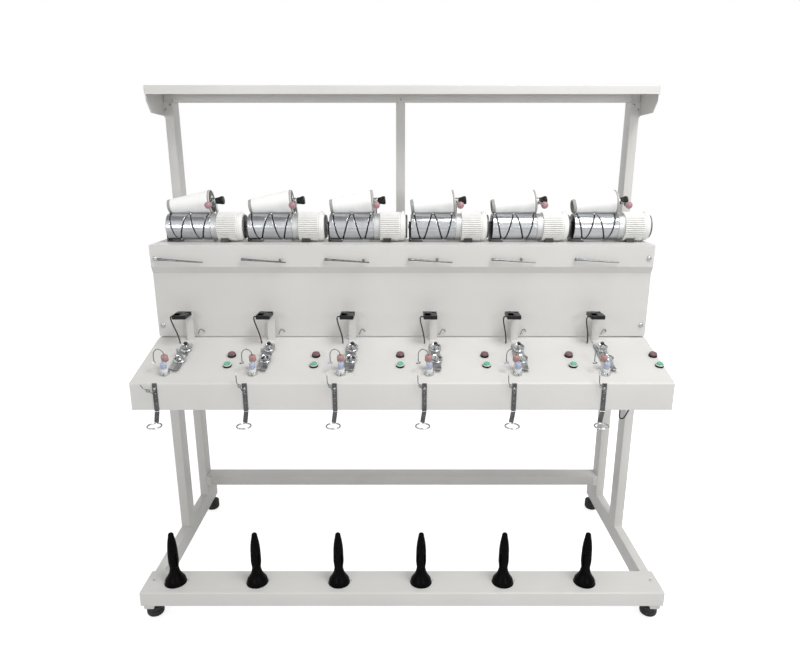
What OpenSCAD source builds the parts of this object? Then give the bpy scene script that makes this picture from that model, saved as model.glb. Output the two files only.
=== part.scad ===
// Six-head motor-drum yarn cone winder: welded tube frame, folded sheet console and panel,
// six grooved drums with finned motors, cradle arms with paper cones, and the yarn path fittings.
// Millimetres. Origin on the floor under the middle of the machine, +X along the heads to the
// right as the operator sees it, +Y away from the operator, +Z up.

/* [Frame] */
// Distance from one winding head to the next
head_pitch = 320; // [316:1:340]
// Width of the frame beyond the heads' own run, both sides together
frame_margin = 70; // [64:1:90]
// Depth over the creel shelf's front and the base tubes' rear ends
base_depth = 890; // [870:1:960]
// Width of the frame tubes, along the machine
tube_w = 38; // [34:1:42]
// Depth of the frame tubes, front to back
tube_d = 75; // [65:1:80]
// Wall of the frame tubes
tube_wall = 3; // [2:0.5:4]
// Height of the base side tubes
base_tube_h = 75; // [65:1:85]
// Distance of the front legs' front faces behind the machine's middle line
front_leg_y = 18; // [14:1:24]
// Distance of the rear posts' front faces behind the machine's middle line
rear_post_y = 299; // [290:1:310]
// Height of the low rear crossbar's underside above the floor
crossbar_z = 191; // [180:1:240]
// Height of the low rear crossbar
crossbar_h = 47; // [38:1:55]
// Height of the middle rear rail and of the side rails
rail_h = 38; // [30:1:42]
// Height of the top rear rail
top_rail_h = 46; // [38:1:52]
// Distance of the centre post's middle left of the machine's middle
centre_post_x = 6; // [0:1:12]

/* [Feet] */
// Radius of a rubber foot
foot_r = 33; // [28:1:33]
// Height of a rubber foot
foot_h = 46; // [40:1:50]
// Rounding of a rubber foot's lower edge
foot_round = 15; // [8:1:18]
// Length of stud between foot and tube
stud_show = 18; // [14:1:26]
// Radius of a foot stud
stud_r = 8; // [6:0.5:10]
// Distance of the front feet behind the machine's front
foot_front_inset = 65; // [50:1:90]
// Distance of the rear feet ahead of the machine's rear
foot_rear_inset = 34; // [34:1:80]

/* [Drum beam] */
// Height of the drum beam's top above the floor
beam_top_z = 1420; // [1400:1:1440]
// Height of the drum beam
beam_h = 45; // [40:1:60]
// Distance of the beam's front face ahead of the machine's middle line
beam_front = 80; // [76:1:86]
// Distance of the beam's rear face behind the machine's middle line
beam_back = 130; // [124:1:140]
// Distance of the beam's and covers' ends inside the frame's outer faces
cover_inset = 25; // [23:1:30]

/* [Drums and motors] */
// Radius of a winding drum
drum_r = 52; // [48:0.5:53]
// Length of the grooved stretch of a drum
drum_len = 173; // [168:1:176]
// Length of the plain collar at a drum's motor end
collar_len = 24; // [20:1:26]
// Height of the drum axis above the beam's top
drum_up = 58.5; // [57.5:0.5:62]
// Distance of the drum axis behind the machine's middle line
drum_back = 38; // [34:1:42]
// Distance of the first drum's left end inside the frame's left outer face
drum_inset = 71; // [68:1:76]
// Wall of a drum
drum_wall = 8; // [7:0.5:10]
// Radius of the black disc on a drum's left end
end_disc_r = 49; // [44:0.5:50]
// Thickness of the black disc on a drum's left end
end_disc_t = 1.5; // [1:0.1:2]
// Width of the yarn groove at the drum's surface
groove_w = 6; // [4:0.5:8]
// Depth of the yarn groove
groove_depth = 5; // [3:0.5:6]
// Turns that the yarn groove makes on its way from one end to the other
groove_turns = 2; // [1.5:0.5:2.5]
// Radius of a drum shaft
shaft_r = 8; // [6:0.5:10]
// Radial clearance of a shaft or spindle in its bore
running_gap = 0.05; // [0.02:0.01:0.1]
// Gap between a turning face and a fixed one
face_gap = 0.5; // [0.4:0.1:1]
// Outer radius of a motor housing over its fins
motor_r = 57; // [54:0.5:57.5]
// Length of a motor housing's finned stretch
motor_len = 81; // [76:1:84]
// Depth of the grooves between the fins
fin_depth = 3; // [2:0.5:4]
// Number of fins round a motor housing
fin_count = 32; // [24:2:36]
// Length of a motor's rounded end cap
motor_cap_len = 20; // [16:1:22]
// Radius of a motor's end cap where the rear disc sits
motor_cap_r = 50; // [48:0.5:51]
// Radius of a motor's dark rear disc
rear_disc_r = 46; // [42:0.5:47]
// Thickness of a motor's dark rear disc
rear_disc_t = 7; // [5:0.5:8]
// Thickness of the walls at a motor's ends
motor_wall = 6; // [5:0.5:8]
// Radius of the rotor on a drum shaft
rotor_r = 30; // [26:0.5:32]
// Gap between rotor and housing
rotor_gap = 1; // [0.6:0.1:2]
// Thickness of a left bearing bracket
bearing_t = 7; // [6:0.5:7]
// Radius of a left bearing bracket's hub, half its width
bearing_hub_r = 20; // [16:0.5:22]
// Length of a left bearing bracket's foot under the drum
bearing_foot = 46; // [30:1:60]
// Thickness of a left bearing bracket's foot
bearing_foot_t = 4; // [3:0.5:4.5]

/* [Cones and arms] */
// Radius of a paper cone's small end
cone_small_r = 26; // [25:0.5:28]
// Radius of a paper cone's large end
cone_large_r = 45.5; // [43:0.5:46]
// Slant length of a paper cone
cone_len = 170; // [168:0.5:170.5]
// Wall of a paper cone
cone_wall = 2.5; // [2:0.5:4]
// Angle behind the drum's top at which a cone rests
rest_angle = 10; // [8:1:12]
// Gap between a cone and its drum
contact_gap = 0.3; // [0.3:0.1:0.8]
// Distance of a cone's small end from its drum's left end
cone_shift = 2; // [0:0.5:2.5]
// Thickness of a chuck's flange
chuck_flange_t = 5; // [4:0.5:5.5]
// Length of the chuck's plug inside a cone
chuck_plug_len = 14; // [10:1:18]
// Gap between a chuck and its cone
chuck_fit = 0.3; // [0.2:0.1:0.5]
// Radius of a chuck's spindle
spindle_r = 6; // [5:0.5:7]
// Radius of an arm's hub
hub_r = 14; // [12:0.5:15]
// Length of an arm's hub
hub_len = 12; // [11:0.5:13]
// Gap between an arm's hub and the chuck or end knob beside it
hub_gap = 2; // [1.6:0.1:2.2]
// Radius of the black end knob
end_knob_r = 15.5; // [13:0.5:16]
// Length of the black end knob
end_knob_len = 31; // [28:1:36]
// Distance of the arm pivot behind the drum axis
pivot_back = 72; // [70:1:76]
// Height of the arm pivot above the drum axis
pivot_up = 17; // [12:1:22]
// Radius of the arm pivot pin
pivot_pin_r = 6; // [5:0.5:7]
// Radius of an arm's pivot tube
pivot_tube_r = 11; // [10:0.5:12]
// Length of an arm's pivot tube
pivot_tube_len = 44; // [36:1:50]
// Thickness of a pivot bracket's ears
pivot_ear_t = 6; // [5:0.5:8]
// Distance of an arm's middle plane from its drum's left end
arm_x = 180.5; // [180.2:0.1:181]
// Thickness of an arm's link
arm_t = 6; // [5:0.5:6.5]
// Width of an arm's link
arm_w = 20; // [16:0.5:22]
// Forward reach of an arm's handle, from the hub's axis to the ball's centre
handle_reach = 113; // [108:1:118]
// Drop of an arm's handle from the hub's axis to the ball's centre
handle_drop = 8; // [4:1:14]
// Distance of the ball's centre right of its arm's middle plane
ball_shift = 6; // [4:1:8]
// Radius of an arm's handle rod
handle_r = 4; // [3:0.5:5]
// Radius of the red ball knob
ball_r = 13.5; // [12:0.5:15]

/* [Console] */
// Distance of the console's front ahead of the machine's middle line
console_front = 390; // [380:1:400]
// Height of the console's front edge above the floor
console_front_z = 971; // [950:1:990]
// Height of the console's front fascia
fascia_h = 102; // [95:1:115]
// Depth of the console's sloping stretch, front to back
slope_depth = 312; // [306:1:316]
// Rise of the console's sloping stretch
slope_rise = 78; // [70:1:86]
// Sheet thickness of the folded covers
sheet_t = 2; // [1.5:0.5:2.5]
// Height of the console's support arms
console_arm_h = 37; // [30:1:45]

/* [Back panel] */
// Height of the panel's proud upper flange
flange_h = 84; // [75:1:90]
// Height of the slanted strip below the flange
strip_h = 26; // [20:1:32]
// Step from the flange back to the panel's main face
panel_step = 14; // [10:1:18]
// Gap between the panel's lower edge and the console
panel_gap = 3; // [2:0.5:5]
// Radius of the panel bolts' heads
bolt_head_r = 9.5; // [7:0.5:10]
// Distance of the panel bolts from the panel's ends
bolt_inset = 19; // [16:1:24]

/* [Top shelf] */
// Height of the top shelf above the floor
shelf_top_z = 2013; // [1990:1:2050]
// Overhang of the top shelf ahead of the rear posts
shelf_reach = 192; // [180:1:200]
// Height of the top shelf's turned-down edge
shelf_lip = 33; // [28:1:40]
// Overhang of the top shelf past the frame at each end
shelf_over = 6; // [6:0.5:10]
// Drop of a gusset plate below the shelf's top
gusset_drop = 103; // [95:1:115]
// Drop of a gusset's front tab along the inner edge of its post
gusset_tab = 176; // [150:1:190]
// Thickness of the gusset plates
plate_t = 3; // [2:0.5:4]

/* [Creel] */
// Depth of the creel shelf
creel_d = 135; // [125:1:140]
// Height of the creel shelf's turned-down edges
creel_lip = 58; // [50:1:62]
// Sheet thickness of the creel shelf
creel_t = 2.5; // [2:0.5:3]
// Overhang of the creel shelf past the frame at each end
creel_over = 8.5; // [6:0.5:10]
// Distance of the base tubes' front ends behind the creel shelf's front
tube_setback = 10; // [8:0.5:14]
// Radius of a peg's base
peg_base_r = 41; // [36:1:44]
// Height of a peg
peg_h = 218; // [200:1:235]
// Radius of a peg's tip
peg_tip_r = 11; // [9:0.5:12]
// Radius of a peg's stem at its widest
peg_stem_r = 20; // [17:0.5:21]
// Height of the peg's bell
peg_bell_h = 58; // [50:1:66]
// Distance of the pegs from the drums' left ends
peg_shift = 38; // [34:1:50]

/* [Yarn sensors] */
// Distance of a sensor's left end from its drum's left end
sensor_shift = 46; // [42:1:50]
// Width of a sensor box
sensor_w = 53; // [48:1:56]
// Depth of a sensor box
sensor_d = 75; // [68:1:78]
// Height of a sensor box
sensor_h = 15; // [13:1:18]
// Height of a sensor box's underside above the floor
sensor_z = 1148; // [1135:1:1165]
// Distance of a sensor box's rear face ahead of the machine's middle line
sensor_front = 95; // [93:1:99]
// Width of the sensor's yarn slot
slot_w = 10; // [8:0.5:12]
// Depth of the sensor's yarn slot
slot_depth = 20; // [14:1:24]
// Width of a sensor bracket
sensor_bracket_w = 28; // [24:1:30]
// Diameter of a sensor lead
lead_dia = 5; // [4:0.5:6]

/* [Tension units] */
// Distance of a tension unit's disc line from its drum's left end
disc_shift = 93; // [90:1:96]
// Radius of a tension disc
disc_r = 22; // [20:0.5:24]
// Distance of the lower discs from the console's front edge, up the slope
disc_low_s = 147; // [145:1:150]
// Distance from the lower discs to the upper discs
disc_step = 81; // [76:1:84]
// Width of a tension plate
tension_plate_w = 40; // [36:1:44]
// Thickness of a tension plate
tension_plate_t = 3; // [2:0.5:4]
// Height of the discs above the tension plate
disc_up = 5; // [4:0.5:7]
// Radius of a tension spindle
tension_spindle_r = 3; // [2.5:0.5:3.5]
// Radius of the black tension knob
tension_knob_r = 8; // [7:0.5:9]
// Distance of a guide post from its drum's left end
post_shift = 63.5; // [61:0.5:65]
// Distance of a guide post from the console's front edge, up the slope
post_s = 59; // [56:1:61]
// Radius of a guide post's chrome base
post_base_r = 17; // [15:0.5:17]
// Radius of a guide post's white sleeve
post_sleeve_r = 13.5; // [11:0.5:14]
// Radius of a guide post's blue cap
post_cap_r = 10.5; // [9:0.5:11]
// Distance of the red cap's post from its drum's left end
red_post_shift = 60; // [57:1:62]
// Distance of the red cap's post from the console's front edge, up the slope
red_post_s = 92; // [91:1:95]
// Radius of the red cap
red_cap_r = 13; // [11:0.5:13.5]

/* [Front guides] */
// Distance of a front strap from its drum's left end
strap_shift = 44; // [40:1:48]
// Width of a front strap
strap_w = 16.5; // [12:0.5:18]
// Thickness of a front strap
strap_t = 3; // [2:0.5:4]
// Length of a front strap down the fascia
strap_len = 107; // [104:1:112]
// Radius of a strap's ring to the middle of its wire
ring_r = 25; // [22:0.5:25.5]
// Radius of the ring's wire
ring_wire_r = 3; // [2:0.5:3]
// Height of the rings above the floor
ring_z = 817; // [805:1:825]
// Pitch of the holes in a strap
hole_pitch = 19; // [17:1:22]
// Length of a guide rod on the panel
rod_len = 172; // [160:1:180]
// Drop of a guide rod from left to right
rod_drop = 12; // [8:1:16]
// Radius of a guide rod's thick end
rod_r = 5; // [4:0.5:5.5]

/* [Buttons] */
// Distance of the buttons from their drum's left end
button_shift = 277.5; // [272:0.5:278]
// Distance of the start buttons from the console's front edge, up the slope
start_s = 113; // [108:1:118]
// Distance of the stop buttons from the console's front edge, up the slope
stop_s = 185; // [178:1:190]
// Radius of a button's black base
button_base_r = 16; // [16:0.5:16.5]
// Height of a button's black base
button_base_h = 7; // [6:0.5:9]
// Radius of a start button's cap
start_cap_r = 12; // [10:0.5:12.5]
// Radius of a stop button's cap
stop_cap_r = 14.5; // [12:0.5:15]
// Height of a cap above its base
button_cap_h = 6; // [5:0.5:8]
// Travel of a button
button_travel = 4; // [3:0.5:5]

/* [Hidden] */
heads = 6;
$fn = 48;

// Colours as the photograph shows them
coat = [0.87, 0.87, 0.85];
black = [0.08, 0.08, 0.09];
chrome = [0.78, 0.79, 0.80];
drum_silver = [0.70, 0.71, 0.73];
motor_white = [0.90, 0.89, 0.86];
paper_white = [0.93, 0.93, 0.91];
strap_grey = [0.25, 0.25, 0.26];
green = [0.16, 0.48, 0.33];
maroon = [0.33, 0.17, 0.18];

// Overrun of a cut past the face it opens
cut = 1;
// Small clearance between two fixed sheets that pass each other
sheet_gap = 0.5;

// Frame places worked out from the driving sizes
frame_w = heads * head_pitch + frame_margin;
out_x = frame_w / 2;
in_x = out_x - tube_w;
cover_x = out_x - cover_inset;
machine_front = -base_depth / 2;
machine_rear = base_depth / 2;
tube_z = foot_h + stud_show;
tube_top_z = tube_z + base_tube_h;
tube_cap_t = 3;
rear_post_back = rear_post_y + tube_d;
beam_z = beam_top_z - beam_h;
rail_d = 38;
rail_wall = 3;
mid_rail_z = beam_z - rail_h;
shelf_under_z = shelf_top_z - sheet_t;
top_rail_z = shelf_under_z - top_rail_h;
lap_w = 23;
lap_t = 3;
lap_h = 40;
foot_nut_r = 15;
foot_nut_h = 9;
foot_y = [machine_front + foot_front_inset, machine_rear - foot_rear_inset];

// Console places: the slope's own frame starts on the console's upper front edge
slope = atan(slope_rise / slope_depth);
slope_len = sqrt(slope_depth * slope_depth + slope_rise * slope_rise);
console_back_z = console_front_z + slope_rise;
console_z = console_front_z - fascia_h;
slope_end_y = slope_depth - console_front;
console_arm_front = 270;
stem_hole_gap = 0.5;

// Panel places
panel_z = console_back_z + panel_gap;
flange_face_y = -beam_front - sheet_t;
panel_face_y = flange_face_y + panel_step;
flange_z = beam_top_z - flange_h;
strip_z = flange_z - strip_h;

// Head places, each measured from its drum's left end
drum_y = drum_back;
drum_z = beam_top_z + drum_up;
drum_total = drum_len + collar_len;
motor_x = drum_total + face_gap;
cap_x = motor_x + motor_len;
disc_x = cap_x + motor_cap_len;
shaft_right = disc_x + rear_disc_t - face_gap;
rotor_inset = 6;
web_t = 6;
groove_margin = 12;
groove_floor_w = 3;
groove_steps = 60;
groove_lift = 3;
reversal_share = 0.96;
bearing_x = -face_gap - end_disc_t - bearing_t;
bearing_collar_t = 2;
bearing_block = 14;
hub_cap_t = 3;
nub_r = 4;
nub_h = 5;
motor_foot_x = 209;
motor_foot_w = 32;
motor_foot_d = 84;
motor_foot_top = 36;
fin_root_share = 0.28;
fin_tip_share = 0.22;
cap_straight = 9;
cap_slant = 14;

// Cone and arm places
cone_angle = asin((cone_large_r - cone_small_r) / cone_len);
cone_axial = cone_len * cos(cone_angle);
chuck_x = cone_axial + chuck_fit;
hub_s = chuck_x + chuck_flange_t + hub_gap;
knob_s = hub_s + hub_len + hub_gap;
knob_round = 4;
axis_up = drum_r + contact_gap + cone_small_r * cos(cone_angle);
axis_x = cone_shift - cone_small_r * sin(cone_angle);
hub_up = axis_up + (arm_x - axis_x) * tan(cone_angle);
hub_y = hub_up * sin(rest_angle);
hub_z = hub_up * cos(rest_angle);
link_dy = pivot_back - hub_y;
link_dz = pivot_up - hub_z;
link_len = sqrt(link_dy * link_dy + link_dz * link_dz);
link_angle = atan2(link_dz, link_dy);
pivot_gap = 0.5;
pivot_head_r = 9;
pivot_head_t = 4;
pivot_ear_r = 11;
pivot_base_t = 5;

// Shelf and creel places
gusset_front_drop = 55;
gusset_chamfer_y = 44;
gusset_chamfer_z = 99;
creel_top_z = tube_top_z + creel_t;
creel_y = machine_front;
peg_y = machine_front + creel_d / 2;
peg_lip_h = 4;
peg_waist_r = 17;
peg_waist_z = 66;
peg_wide_z = 96;
peg_shoulder_z = 150;
peg_bell_shares = [1, 0.96, 0.84, 0.7, 0.58, 0.5, 0.45];
peg_slot_w = 7;
peg_slot_depth = 5;
peg_slot_z = 72;
peg_slot_h = 62;
peg_hole_r = 3;
peg_hole_dx = 46;
peg_hole_dy = 9;

// Sensor places
sensor_bracket_x = 74;
sensor_bracket_t = 3;
sensor_foot_len = 26;
slot_back = 25;
lead_sides = 8;
lead_rings = 12;
lead_foot_s = 281;
lead_foot_dx = 6;
lead_top_dy = 55;
lead_side = 20;
lead_reach = 50;
loop_y = -360;
loop_points = [[794, 0], [794, -12], [794, -24], [794, -36], [796, -42], [800, -46], [805, -46],
    [810, -43], [814, -38], [819, -28], [825, -17], [830, -9], [832, -5], [832, 0]];

// Tension unit places, in the slope's frame
plate_front_s = 82;
plate_back_s = 262;
plate_lift = 4;
plate_left = 24;
blade_len = 18;
blade_w = 20;
blade_lift = 25;
blade_root = 2;
edge_in = 0.5;
disc_rim_h = 4;
disc_flat_r = 9;
disc_t = 1.2;
spindle_nut_r = 6;
spindle_nut_h = 4;
spindle_up = 22;
upper_spindle_up = 40;
spring_r = 6.5;
spring_top_r = 4.5;
spring_wire = 1.3;
spring_turns = 5;
spring_steps = 8;
spring_h = 14;
bar_w = 10;
bar_t = 3;
bar_h = 26;
post_base_h = 12;
post_sleeve_h = 13;
post_cap_h = 24;
post_slot_w = 3;
post_hole_r = 3;
post_hole_depth = 7;
red_stem_r = 8;
red_stem_h = 38;
red_cap_h = 22;
red_cap_taper = 1.3;
knob_h = 9;
knob_tip_r = 5;

// Wires are swept tubes; their routes are hand chosen points
wire_r = 1.7;
wire_sides = 8;
hook_points = [[0, 0, -2], [-3, 0, 9], [-10, -1, 17], [-20, -2, 21], [-30, -3, 17], [-36, -4, 7],
    [-37, -5, -5], [-37, -5, -22]];
low_pigtail = [[7, 0, -17], [4, -3, -24], [-2, -5, -30], [-8, -7, -33], [-20, -8, -24],
    [-34, -8, -16], [-42, -8, -6], [-46, -8, 6]];
high_pigtail = [[7, 0, -17], [2, -3, -24], [-2, -6, -31], [-8, -8, -20], [-15, -8, -6],
    [-23, -8, 6], [-24, -8, 24], [-25, -8, 46]];
panel_hook = [[0, 0, 0], [0, -4, 0], [-1, -9, 4], [-4, -12, 8], [-10, -14, 12], [-15, -14, 7], [-19, -14, -2],
    [-22, -14, -9]];
eyelet_r = 7;
eyelet_open = 20;
eyelet_step = 40;
eyelet_drop = 4;
eyelet_climb = 4;

// Front guide places
strap_bend = 8.5;
strap_bend_dx = 6;
strap_hole_r = 2.5;
strap_top_drop = 20;
ring_gap = 0.3;
screw_r = 5;
screw_h = 2.5;
screw_face_share = 0.6;
bolt_head_h = 5;
bolt_drop = 51;
bolt_up = 48;
gusset_screw_steps = [11, 30];
rod_shift = -13;
rod_end_r = 2.5;
rod_z_drop = 53;
rod_stand = 12;
rod_stud_r = 3;
panel_hook_shift = 136;
panel_hook_up = 23;

// Button places
cap_gap = 0.4;
cap_skirt = 1.5;
cap_taper = 1;
stem_r = 4;
stem_len = 22;
bezel_r = 15;
bezel_h = 3;
switch_w = 28;
switch_h = 30;

function unit_x(i) = drum_inset - out_x + (i - 1) * head_pitch;
function on_slope(s) = [s * cos(slope) - console_front, s * sin(slope) + console_front_z];

module box(lo, hi) {
    translate(lo)
        cube(hi - lo);
}

module rod_x(r, len) {
    rotate([0, 90, 0])
        cylinder(r = r, h = len);
}

module both_sides() {
    for (side = [0, 1])
        mirror([side, 0, 0])
            children();
}

module at_head(i) {
    translate([unit_x(i), 0, 0])
        children();
}

module at_drum_axis(i) {
    translate([unit_x(i), drum_y, drum_z])
        children();
}

// The slope's frame at a head: y runs up the slope and z stands square on it
module at_slope(i, x, s) {
    translate([unit_x(i) + x, -console_front, console_front_z])
        rotate([slope, 0, 0])
            translate([0, s, 0])
                children();
}

// The cone's own axis at a head, pointing from the small end to the large end
module at_cone(i) {
    at_drum_axis(i)
        rotate([-rest_angle, 0, 0])
            translate([axis_x, 0, axis_up])
                rotate([0, 90 - cone_angle, 0])
                    children();
}

module upright_tube(lo, hi, wall) {
    difference() {
        box(lo, hi);
        box([lo.x + wall, lo.y + wall, lo.z - cut], [hi.x - wall, hi.y - wall, hi.z + cut]);
    }
}

module deep_tube(lo, hi, wall) {
    difference() {
        box(lo, hi);
        box([lo.x + wall, lo.y - cut, lo.z + wall], [hi.x - wall, hi.y + cut, hi.z - wall]);
    }
}

module long_tube(lo, hi, wall) {
    difference() {
        box(lo, hi);
        box([lo.x - cut, lo.y + wall, lo.z + wall], [hi.x + cut, hi.y - wall, hi.z - wall]);
    }
}

// Sweeps a round tube along a list of points, each ring square to the route there
function unit(v) = v / norm(v);
function tangent(p, k) = unit(p[min(k + 1, len(p) - 1)] - p[max(k - 1, 0)]);
function across(t) = abs(t.z) < 0.9 ? unit(cross(t, [0, 0, 1])) : unit(cross(t, [0, 1, 0]));
function carried(p, k) = k == 0 ? across(tangent(p, 0))
    : let (last = carried(p, k - 1), t = tangent(p, k)) unit(last - t * (last * t));
function ring_points(p, k, r, sides) = let (t = tangent(p, k), a = carried(p, k), b = cross(t, a))
    [for (j = [0 : sides - 1]) p[k] + a * (r * cos(360 * j / sides)) + b * (r * sin(360 * j / sides))];
module swept(p, r, sides) {
    rings = len(p);
    points = [for (k = [0 : rings - 1]) each ring_points(p, k, r, sides)];
    skin = [for (k = [0 : rings - 2], j = [0 : sides - 1])
        let (a = k * sides + j, b = k * sides + (j + 1) % sides)
        each [[a, a + sides, b], [b, a + sides, b + sides]]];
    first = [[for (j = [0 : sides - 1]) j]];
    last = [[for (j = [sides - 1 : -1 : 0]) (rings - 1) * sides + j]];
    polyhedron(points = points, faces = concat(skin, first, last), convexity = sides);
}

module base_side_tubes() {
    color(coat)
        both_sides() {
            deep_tube([in_x, machine_front + tube_setback, tube_z],
                [out_x, machine_rear - tube_cap_t, tube_top_z], tube_wall);
            box([in_x, machine_front + tube_setback - tube_cap_t, tube_z],
                [out_x, machine_front + tube_setback, tube_top_z]);
            box([in_x, machine_rear - tube_cap_t, tube_z], [out_x, machine_rear, tube_top_z]);
        }
}

module front_legs() {
    color(coat)
        both_sides()
            upright_tube([in_x, front_leg_y, tube_top_z],
                [out_x, front_leg_y + tube_d, beam_z], tube_wall);
}

module rear_posts() {
    color(coat)
        both_sides()
            upright_tube([in_x, rear_post_y, tube_top_z],
                [out_x, rear_post_back, shelf_under_z], tube_wall);
}

module centre_post() {
    color(coat) {
        upright_tube([-centre_post_x - tube_w / 2, rear_post_y, beam_z],
            [-centre_post_x + tube_w / 2, rear_post_y + rail_d, top_rail_z], rail_wall);
        box([-centre_post_x - lap_w / 2, rear_post_y - lap_t, top_rail_z - lap_h / 2],
            [-centre_post_x + lap_w / 2, rear_post_y, top_rail_z + lap_h / 2]);
    }
}

// The low crossbar with its lap plates, the middle and top rails, and the short side rails
module frame_rails() {
    color(coat) {
        long_tube([-in_x, rear_post_y, crossbar_z],
            [in_x, rear_post_y + tube_d, crossbar_z + crossbar_h], rail_wall);
        both_sides()
            box([in_x - lap_w, rear_post_y - lap_t, crossbar_z],
                [in_x, rear_post_y, crossbar_z + crossbar_h]);
        long_tube([-in_x, rear_post_y, mid_rail_z],
            [in_x, rear_post_y + rail_d, beam_z], rail_wall);
        long_tube([-in_x, rear_post_y, top_rail_z],
            [in_x, rear_post_y + rail_d, shelf_under_z], rail_wall);
        both_sides()
            deep_tube([in_x, front_leg_y + tube_d, beam_z - rail_h],
                [out_x, rear_post_y, beam_z], rail_wall);
    }
}

// A box beam with welded end caps
module drum_beam() {
    color(coat) {
        long_tube([tube_cap_t - cover_x, -beam_front, beam_z],
            [cover_x - tube_cap_t, beam_back, beam_top_z], tube_wall);
        both_sides()
            box([cover_x - tube_cap_t, -beam_front, beam_z], [cover_x, beam_back, beam_top_z]);
    }
}

// A tray turned upside down: top sheet with front, rear and end lips
module top_shelf() {
    x = out_x + shelf_over;
    y = rear_post_y - shelf_reach;
    back = rear_post_back + sheet_t + sheet_gap;
    color(coat)
        difference() {
            box([-x, y, shelf_top_z - shelf_lip], [x, back, shelf_top_z]);
            box([-x + sheet_t, y + sheet_t, shelf_top_z - shelf_lip - cut],
                [x - sheet_t, back - sheet_t, shelf_under_z]);
        }
}

// Side plate under the shelf's end, with a tab folded across the post's front face
module shelf_gussets() {
    y = rear_post_y - shelf_reach + sheet_t;
    low = shelf_top_z - gusset_drop;
    side = [[y, shelf_under_z], [y, shelf_top_z - gusset_front_drop],
        [y + gusset_chamfer_y, shelf_top_z - gusset_chamfer_z], [rear_post_y - plate_t, low],
        [rear_post_back, low], [rear_post_back, shelf_under_z]];
    tab = [[out_x + plate_t, shelf_under_z - top_rail_h], [in_x, shelf_under_z - top_rail_h],
        [in_x, shelf_top_z - gusset_tab], [out_x + plate_t, low]];
    color(coat)
        both_sides() {
            translate([out_x, 0, 0])
                rotate([90, 0, 90])
                    linear_extrude(plate_t)
                        polygon(side);
            translate([0, rear_post_y, 0])
                rotate([90, 0, 0])
                    linear_extrude(plate_t)
                        polygon(tab);
        }
}

module creel_shelf() {
    x = out_x + creel_over;
    low = creel_top_z - creel_lip;
    color(coat)
        difference() {
            union() {
                box([-x, creel_y, tube_top_z], [x, creel_y + creel_d, creel_top_z]);
                box([-x, creel_y, low], [x, creel_y + creel_t, tube_top_z]);
                box([-in_x + sheet_gap, creel_y + creel_d - creel_t, low],
                    [in_x - sheet_gap, creel_y + creel_d, tube_top_z]);
            }
            for (i = [1 : heads])
                at_head(i)
                    translate([peg_shift + peg_hole_dx, peg_y + peg_hole_dy, tube_top_z - cut])
                        cylinder(r = peg_hole_r, h = creel_t + 2 * cut);
        }
}

// A peg is a bell with a swelling stem; four shallow slots run down the stem
module peg() {
    steps = len(peg_bell_shares) - 1;
    bell = [for (k = [1 : steps]) [peg_base_r * peg_bell_shares[k],
        peg_lip_h + (peg_bell_h - peg_lip_h) * k / steps]];
    tip = [for (a = [0 : 15 : 90]) [peg_tip_r * cos(a), peg_h - peg_tip_r + peg_tip_r * sin(a)]];
    difference() {
        rotate_extrude()
            polygon(concat([[0, 0], [peg_base_r, 0], [peg_base_r, peg_lip_h]], bell,
                [[peg_waist_r, peg_waist_z], [peg_stem_r, peg_wide_z], [peg_stem_r - peg_slot_depth / 4,
                peg_shoulder_z]], tip));
        for (a = [0 : 90 : 270])
            rotate(a + 45)
                translate([peg_stem_r - peg_slot_depth, -peg_slot_w / 2, peg_slot_z])
                    cube([peg_slot_depth + cut, peg_slot_w, peg_slot_h]);
    }
}

module creel_pegs() {
    color(black)
        for (i = [1 : heads])
            at_head(i)
                translate([peg_shift, peg_y, creel_top_z])
                    peg();
}

module rubber_feet() {
    arc = [for (a = [-90 : 15 : 0])
        [foot_r - foot_round + foot_round * cos(a), foot_round + foot_round * sin(a)]];
    color(black)
        both_sides()
            for (y = foot_y)
                translate([out_x - tube_w / 2, y, 0])
                    rotate_extrude()
                        polygon(concat([[0, 0]], arc, [[foot_r, foot_h], [0, foot_h]]));
}

module foot_studs() {
    color(chrome)
        both_sides()
            for (y = foot_y)
                translate([out_x - tube_w / 2, y, foot_h]) {
                    cylinder(r = stud_r, h = stud_show);
                    translate([0, 0, stud_show - foot_nut_h])
                        cylinder(r = foot_nut_r, h = foot_nut_h, $fn = 6);
                }
}

// Where the wires, stems and leads pass through the console's sheet
module console_holes() {
    for (i = [1 : heads])
        for (s = [start_s, stop_s])
            at_slope(i, button_shift, s)
                translate([0, 0, -2 * sheet_t])
                    cylinder(r = stem_r + stem_hole_gap, h = 4 * sheet_t);
}

module console_shell() {
    back = front_leg_y - sheet_t;
    inner = sheet_t / cos(slope);
    outline = [[-console_front, console_z], [-console_front, console_front_z],
        [slope_end_y, console_back_z], [back, console_back_z], [back, console_z]];
    hollow = [[-console_front + sheet_t, console_z - cut],
        [-console_front + sheet_t, console_front_z - inner + sheet_t * tan(slope)],
        [slope_end_y, console_back_z - inner], [slope_end_y, console_back_z - sheet_t],
        [back + cut, console_back_z - sheet_t], [back + cut, console_z - cut]];
    color(coat)
        difference() {
            translate([-cover_x, 0, 0])
                rotate([90, 0, 90])
                    linear_extrude(2 * cover_x)
                        polygon(outline);
            translate([-cover_x + sheet_t, 0, 0])
                rotate([90, 0, 90])
                    linear_extrude(2 * (cover_x - sheet_t))
                        polygon(hollow);
            console_holes();
        }
}

// The console's floor sheet with its rear flange, and the two support arms below it
module console_floor() {
    x = cover_x - sheet_t - sheet_gap;
    color(coat) {
        box([-x, sheet_t + sheet_gap - console_front, console_z],
            [x, front_leg_y - sheet_t, console_z + sheet_t]);
        box([-cover_x, front_leg_y - sheet_t, console_z], [cover_x, front_leg_y, console_back_z]);
        both_sides()
            deep_tube([in_x - tube_w / 2, -console_arm_front, console_z - console_arm_h],
                [cover_x, front_leg_y, console_z], tube_wall);
    }
}

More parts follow.
